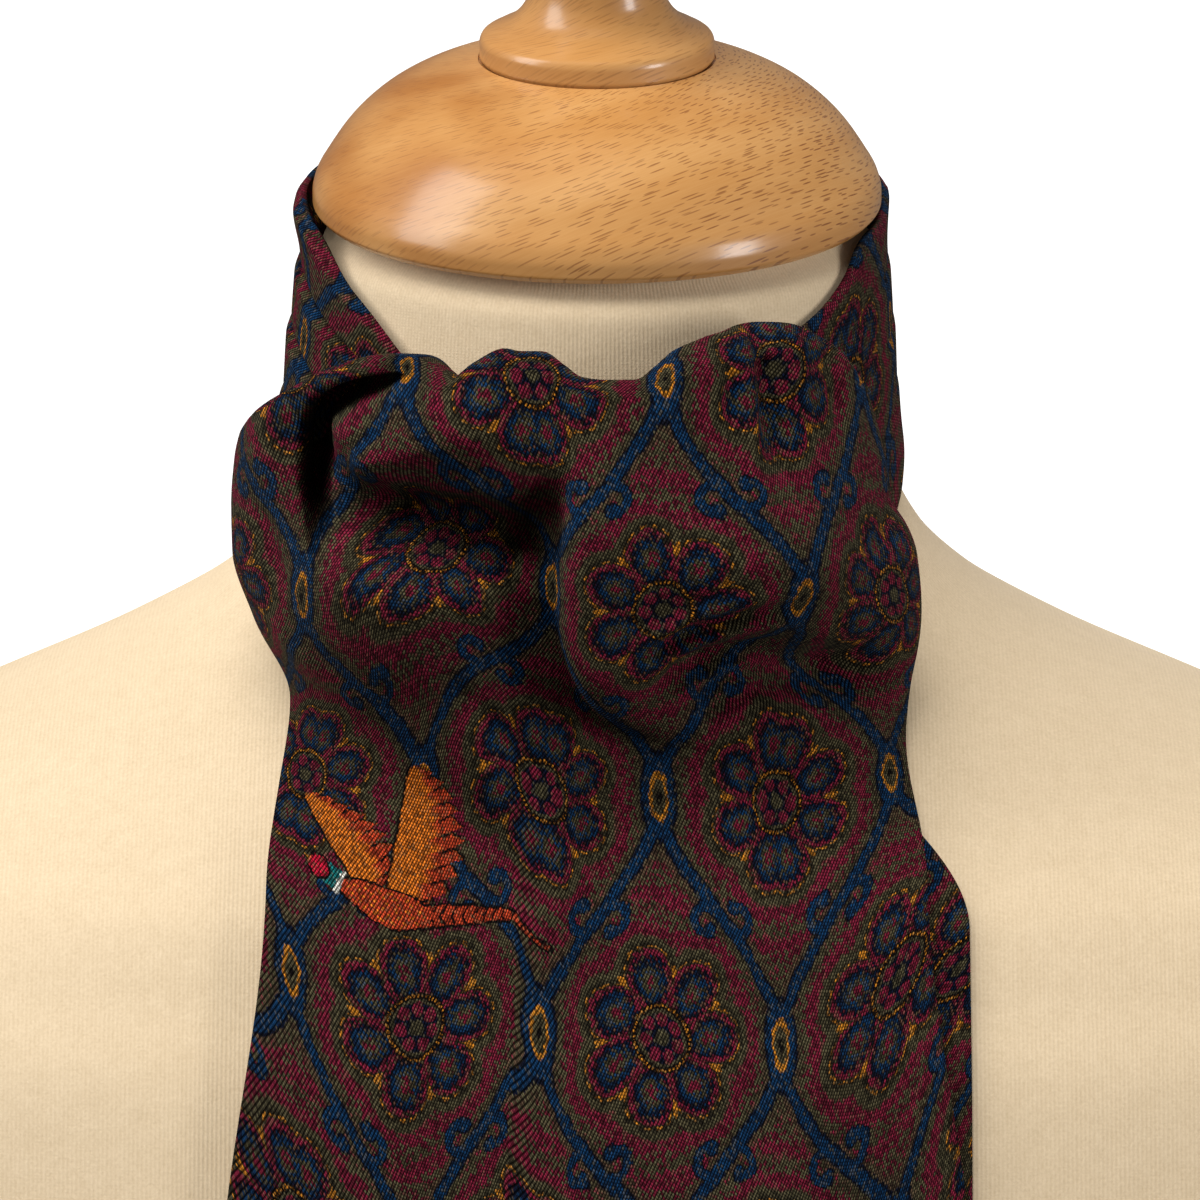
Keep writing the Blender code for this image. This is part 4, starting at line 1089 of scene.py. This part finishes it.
def thread():
    """Silk sewing thread: two twisted plies, with painted shade between them."""
    paint = Finish("sewing_thread", Roughness=0.5, Specular_IOR_Level=0.4, Sheen_Weight=0.2)
    x, y, z = paint.parts(paint.place())
    ply = ((x + y) * 9000.0 + z * 14000.0).sine() * 0.5 + 0.5
    # painted shade: a darker copy of the silk's colour lies between the plies, where the twist is
    # in shade; ply gives the bump too
    paint.show("Base Color", paint.mix(ply, tint(48, 16, 26), tint(96, 34, 50)))
    paint.show("Normal", paint.bump(ply, 0.00008, 0.6))
    return paint.material


def pale_floor():
    paint = Finish("pale_floor", Roughness=0.9, Specular_IOR_Level=0.1, Emission_Strength=0.4)
    paint.show("Emission Color", (1.0, 1.0, 1.0, 1.0))
    speck = paint.noise(paint.place(), 30.0, 2.0)
    paint.show("Base Color", paint.mix(speck, tint(246, 245, 243), tint(250, 249, 248)))
    return paint.material


# ---- making the pieces


def meshed(name, form, material):
    """Turns a bmesh in millimetres into a named object in metres."""
    bmesh.ops.scale(form, vec=(MM, MM, MM), verts=form.verts)
    mesh = bpy.data.meshes.new(name)
    form.to_mesh(mesh)
    form.free()
    mesh.shade_smooth()
    mesh.materials.append(material)
    made = bpy.data.objects.new(name, mesh)
    bpy.context.scene.collection.objects.link(made)
    return made


def piece(name, form, material, node=None):
    """A piece that rides on the body, and the solid that it stands for."""
    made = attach(meshed(name, form, material), "root")
    if node:
        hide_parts(node)
    return made


def spaced(count, crowded):
    """count shares from 0 to 1, closer together round each crowded (place, width, weight)."""
    fine = np.linspace(0, 1, 2001)
    density = np.ones_like(fine)
    for place, width, weight in crowded:
        density += weight * np.exp(-(((fine - place) / width) ** 2))
    total = np.concatenate([[0], np.cumsum((density[1:] + density[:-1]) / 2)])
    return np.interp(np.linspace(0, total[-1], count), total, fine)


def blurred(values, axis, reach):
    """Values evened out along one axis of a grid, over about that many neighbours."""
    for _ in range(3):
        inner = np.moveaxis(values, axis, 0)
        before, after = (np.repeat(end, reach, axis=0) for end in (inner[:1], inner[-1:]))
        total = np.cumsum(np.concatenate([inner[:1] * 0, before, inner, after]), axis=0)
        wide = 2 * reach + 1
        values = np.moveaxis((total[wide:] - total[:-wide]) / wide, 0, axis)
    return values


def run_lengths(points, axis, start=0, settles=SETTLES):
    """How far each point of a grid is along the cloth from one of the grid's rows or columns.

    Cloth gives on the bias, so a deep fold takes up less of the print than its own length, and
    rows beside each other take up much the same: the more so past the folds, where it settles.
    """
    steps = np.linalg.norm(np.diff(points, axis=axis), axis=-1)
    plain = blurred(blurred(steps, axis, EVEN_REACH), 1 - axis, EVEN_REACH)
    excess = np.maximum(steps / plain - LEAST_LENGTH, 0.0)
    steps = plain * (LEAST_LENGTH + excess / (1 + excess / MOST_EXCESS))
    near = summed(blurred(steps, 1 - axis, GIVE_REACH), axis, start)
    far = summed(blurred(steps, 1 - axis, SLOW_REACH), axis, start)
    return near + (far - near) * between(*settles, np.abs(far) / np.abs(far).max())


def summed(steps, axis, start):
    """Running totals of the steps, counted from the starting row or column."""
    none = np.take(steps, [0], axis=axis) * 0
    run = np.concatenate([none, np.cumsum(steps, axis=axis)], axis=axis)
    return run - np.take(run, [start], axis=axis)


def cloth(node, points, flat, material):
    """A thin wall of cloth over a grid of points, each with its place on the flat cloth."""
    rows, columns = points.shape[:2]
    form = bmesh.new()
    bmesh.ops.create_grid(form, x_segments=columns - 1, y_segments=rows - 1, size=1.0)
    place = form.verts.layers.float_vector.new(PLACE)
    for vert in form.verts:
        column = round((vert.co.x + 1) / 2 * (columns - 1))
        row = round((vert.co.y + 1) / 2 * (rows - 1))
        vert.co = points[row, column]
        vert[place] = (*(flat[row, column] * MM), 0.0)
    made = piece(f"cravat_{node}", form, material, node)
    wall = made.modifiers.new("wall", "SOLIDIFY")
    wall.thickness = SHOWN_CLOTH * MM
    wall.offset = 1.0
    wall.use_quality_normals = True
    return made


def blade_flat(middle_column, crest_row, points):
    """Flat places on the blade: lengths from its middle line, and from its crest downwards."""
    u = run_lengths(points, 1, middle_column)
    crest = points[crest_row : crest_row + 1, :, 2] - PRINT_LEVEL
    return np.stack([u, crest - run_lengths(points, 0, crest_row, BLADE_SETTLES)], axis=-1)


def band_flat(shift, points):
    """Flat places on a band: it runs round the neck, so its length lies along the print."""
    return np.stack([run_lengths(points, 1) + shift[0], shift[1] - run_lengths(points, 0)], axis=-1)


def front_blade(material):
    across = 2 * spaced(BLADE_COLUMNS, CROWDED_COLUMNS) - 1
    along = spaced(BLADE_ROWS, CROWDED_ROWS)
    grid = np.meshgrid(across, along)
    middle, crest = np.argmin(abs(across)), np.argmin(abs(along - CREST_SHARE))
    # the print runs on past the deep fold as if nothing were sunk there
    flat = blade_flat(middle, crest, front_blade_surface(*grid, pit_share=0.0))
    made = cloth("front_blade", front_blade_surface(*grid), flat, material)


def under_blade(material):
    grid = np.meshgrid(np.linspace(-1, 1, UNDER_COLUMNS), np.linspace(0, 1, UNDER_ROWS))
    points = under_blade_surface(*grid)
    made = cloth("under_blade", points, blade_flat(UNDER_COLUMNS // 2, 0, points), material)


def crossing(material):
    across = np.radians(np.linspace(CROSSING[0][0], CROSSING[-1][0], CROSSING_COLUMNS_SHOWN))
    points = crossing_surface(*np.meshgrid(across, np.linspace(0, 1, CROSSING_ROWS)))
    made = cloth("crossing", points, band_flat(CROSSING_PRINT_AT, points), material)


def neckband(material):
    split, gap = BAND_SPLIT_DEG, SPLIT_GAP_DEG
    reached = BAND_PRINT_AT[0]  # how far along the print each row has come
    for side, rows, low, high, columns, deep in (
        ("right", RIGHT_BAND, RIGHT_BAND[0][0], split, SIDE_COLUMNS, 0.053),
        ("back", ROUND_NAPE, split + gap, 360 - split - gap, NAPE_COLUMNS, 0.043),
        ("left", LEFT_BAND, -split, -LEFT_BAND[0][0], SIDE_COLUMNS, 0.055),
    ):
        across = np.radians(np.linspace(low, high, columns))
        points = band_surface(rows, *np.meshgrid(across, np.linspace(0, 1, BAND_ROWS)))
        flat = band_flat((reached, BAND_PRINT_AT[1]), points)
        reached = flat[:, -1:, 0] + math.radians(gap) * NECK_RADIUS
        made = cloth(f"neckband_{side}", points, flat, material)
        long = (high - low) / 360 * ROUND * NECK_RADIUS * MM


def ring_of(form, verts):
    return [form.edges.new((verts[i - 1], verts[i])) for i in range(len(verts))]


def tube(form, loops):
    """Joins rings into tubes and closes their ends."""
    for low, high in zip(loops, loops[1:]):
        bmesh.ops.bridge_loops(form, edges=low + high)
    bmesh.ops.holes_fill(form, edges=form.edges, sides=0)
    bmesh.ops.recalc_face_normals(form, faces=form.faces)


def bust(material):
    """The jersey-covered form: rings of points bridged from the base to the neck."""
    form = bmesh.new()
    loops = []
    angles = np.arange(BUST_COLUMNS) * 2 * math.pi / BUST_COLUMNS
    for level in np.concatenate([np.linspace(*row) for row in BUST_LEVELS]):
        points = bust_point(angles, np.full(BUST_COLUMNS, level))
        points[:, :2] *= 1 - NECK_ROUNDING * between(NECK_ROUNDS_FROM, NECK_TOP, level) ** 2
        verts = [form.verts.new(point) for point in points]
        loops.append(ring_of(form, verts))
    tube(form, loops)
    made = piece("bust_jersey_form", form, material, "bust_form")
    made.data.set_sharp_from_angle(angle=math.radians(BUST_SHARP_DEG))


def turned(node, outline, base, material):
    """A profile spun round its axis, standing on the leaning top of the neck."""
    form = bmesh.new()
    verts = [form.verts.new((radius, 0, height)) for radius, height in outline]
    edges = [form.edges.new(pair) for pair in zip(verts, verts[1:])]
    bmesh.ops.spin(
        form,
        geom=verts + edges,
        cent=(0, 0, 0),
        axis=(0, 0, 1),
        dvec=(0, 0, 0),
        angle=2 * math.pi,
        steps=TURNED_STEPS,
        use_merge=True,
        use_duplicate=False,
    )
    bmesh.ops.remove_doubles(form, verts=form.verts, dist=0.001)
    bmesh.ops.recalc_face_normals(form, faces=form.faces)
    lean = math.radians(CAP_LEAN_DEG)
    for vert in form.verts:
        x, y, z = vert.co
        z += base
        vert.co = (
            x,
            y * math.cos(lean) - z * math.sin(lean),
            CAP_BOTTOM + y * math.sin(lean) + z * math.cos(lean),
        )
    made = piece(f"{node}_beech", form, material, node)
    made.data.set_sharp_from_angle(angle=math.radians(TURNED_SHARP_DEG))


def softened(profile):
    """A turner's profile with a smooth curve through its named places."""
    profile = np.array(profile, float)
    knots = np.concatenate([[0], np.cumsum(np.hypot(*np.diff(profile, axis=0).T))])
    stretches = [np.linspace(*ends, CURVE_PIECES) for ends in zip(knots, knots[1:])]
    at = np.unique(np.concatenate(stretches))
    return list(zip(*(through(knots, column, at) for column in profile.T)))


def cap_and_knob():
    seat = max(radius for radius, _ in KNOB_TURNED) + SEAM_GAP
    radii, heights = zip(*CAP_DOME)
    brim = float(np.interp(seat, radii, heights))
    floor = brim - KNOB_SEAT_DEPTH
    dome = [(seat, brim), *(point for point in CAP_DOME if point[0] > seat), *CAP_RIM]
    outline = [(0, floor), (seat, floor), *softened(dome), (0, 0)]
    turned("neck_cap", outline, 0.0, beech("beech_cap", 46.0, 1.0))
    knob = [*softened(KNOB_TURNED), *KNOB_FOOT]
    turned("cap_knob", knob, floor + SEAM_GAP, beech("beech_knob", 19.0, 0.5))


# ---- stitches


STITCH_LONG, STITCH_GAP, STITCH_THICK = 2.6, 2.0, 0.45
STITCH_RINGS = ((0, -0.15, 0.55), (0.5, 0.55, 1.0), (1, -0.15, 0.55))  # share, lift, width
STITCH_SIDES = 6
STITCH_ROWS, STITCH_MARGIN_DEG, STITCH_STEPS = (0.14, 0.37, 0.62), 3, 160
NAPE_TOP, NAPE_HIGH = 423.0, 38.0  # the band's upper edge at the nape, and its height there


def stitches(name, points, outs, material):
    """A row of short raised stitches along a path of points with outward directions."""
    ends = np.concatenate([[0], np.cumsum(np.linalg.norm(np.diff(points, axis=0), axis=1))])
    turns = np.arange(STITCH_SIDES) * ROUND / STITCH_SIDES
    form = bmesh.new()

    def on_path(values, length):
        return np.array([np.interp(length, ends, values[:, k]) for k in range(3)])

    for start in np.arange(STITCH_GAP, ends[-1] - STITCH_LONG, STITCH_LONG + STITCH_GAP):
        out = on_path(outs, start + STITCH_LONG / 2)
        out = out / np.linalg.norm(out) * STITCH_THICK
        side = np.cross(out, on_path(points, start + STITCH_LONG) - on_path(points, start))
        side = side / np.linalg.norm(side) * STITCH_THICK / 2
        rings = []
        for share, lift, wide in STITCH_RINGS:
            middle = on_path(points, start + STITCH_LONG * share) + out * lift
            around = [(side * math.cos(a) + out / 2 * math.sin(a)) * wide for a in turns]
            rings.append(ring_of(form, [form.verts.new(middle + step) for step in around]))
        tube(form, rings)
    piece(name, form, material)


def pleat_stitches(material):
    """Three rows of stitches that hold the pleats round the nape."""
    first = BAND_SPLIT_DEG + STITCH_MARGIN_DEG
    angles = np.radians(np.linspace(first, 360 - first, STITCH_STEPS))
    for number, share in enumerate(STITCH_ROWS):
        points = band_surface(ROUND_NAPE, angles, np.full_like(angles, share))
        outs = bust_normal(angles, np.minimum(NAPE_TOP - NAPE_HIGH * share, NECK_TOP))
        stitches(f"nape_stitches_{number + 1}", points, outs, material)


# ---- floor and lights


FLOOR_REACH = 14000.0


def floor(material):
    form = bmesh.new()
    bmesh.ops.create_grid(form, x_segments=8, y_segments=8, size=FLOOR_REACH)
    made = meshed("floor", form, material)
    made.visible_diffuse = made.visible_glossy = False


SUN_FROM, SUN_STRENGTH, SUN_SPREAD_DEG = (-0.25, -0.40, 1.2), 2.6, 46.0
AMBIENT = 0.14
SOFTBOXES = (  # name, place, width, height, watts
    ("left_softbox", (-1.62, -0.52, 1.30), 0.85, 1.7, 27.0),
    ("right_softbox", (1.45, -0.95, 0.45), 0.45, 0.7, 12.5),
    ("back_softbox", (0.35, 1.80, 0.62), 1.0, 0.9, 16.0),
)


def aimed(name, lamp, place):
    """A lamp at a place, turned towards the middle of the view."""
    holder = bpy.data.objects.new(name, lamp)
    holder.location = place
    away = np.array(place) - np.array(AIM)
    flat = math.hypot(away[0], away[1])
    holder.rotation_euler = (math.atan2(flat, away[2]), 0, math.atan2(away[0], -away[1]))
    bpy.context.scene.collection.objects.link(holder)
    return holder


def lights():
    sun = bpy.data.lights.new("soft_key", "SUN")
    sun.energy, sun.angle = SUN_STRENGTH, math.radians(SUN_SPREAD_DEG)
    key = aimed("soft_key", sun, np.array(AIM) + 2.0 * np.array(SUN_FROM))
    key.visible_glossy = False
    for name, place, width, height, power in SOFTBOXES:
        lamp = bpy.data.lights.new(name, "AREA")
        lamp.shape = "RECTANGLE"
        lamp.size, lamp.size_y, lamp.energy = width, height, power
        aimed(name, lamp, place).visible_glossy = place[1] < 0
    world = bpy.data.worlds.new("studio")
    world.use_nodes = True
    sockets = world.node_tree.nodes["Background"].inputs
    sockets["Color"].default_value = (1.0, 1.0, 1.0, 1.0)
    sockets["Strength"].default_value = AMBIENT
    bpy.context.scene.world = world
    bpy.context.scene.view_settings.view_transform = "Standard"


# ---- the whole

camera()
cloth_finish = twill()
front_blade(cloth_finish)
under_blade(cloth_finish)
crossing(cloth_finish)
neckband(cloth_finish)
pleat_stitches(thread())
bust(jersey())
cap_and_knob()
floor(pale_floor())
lights()
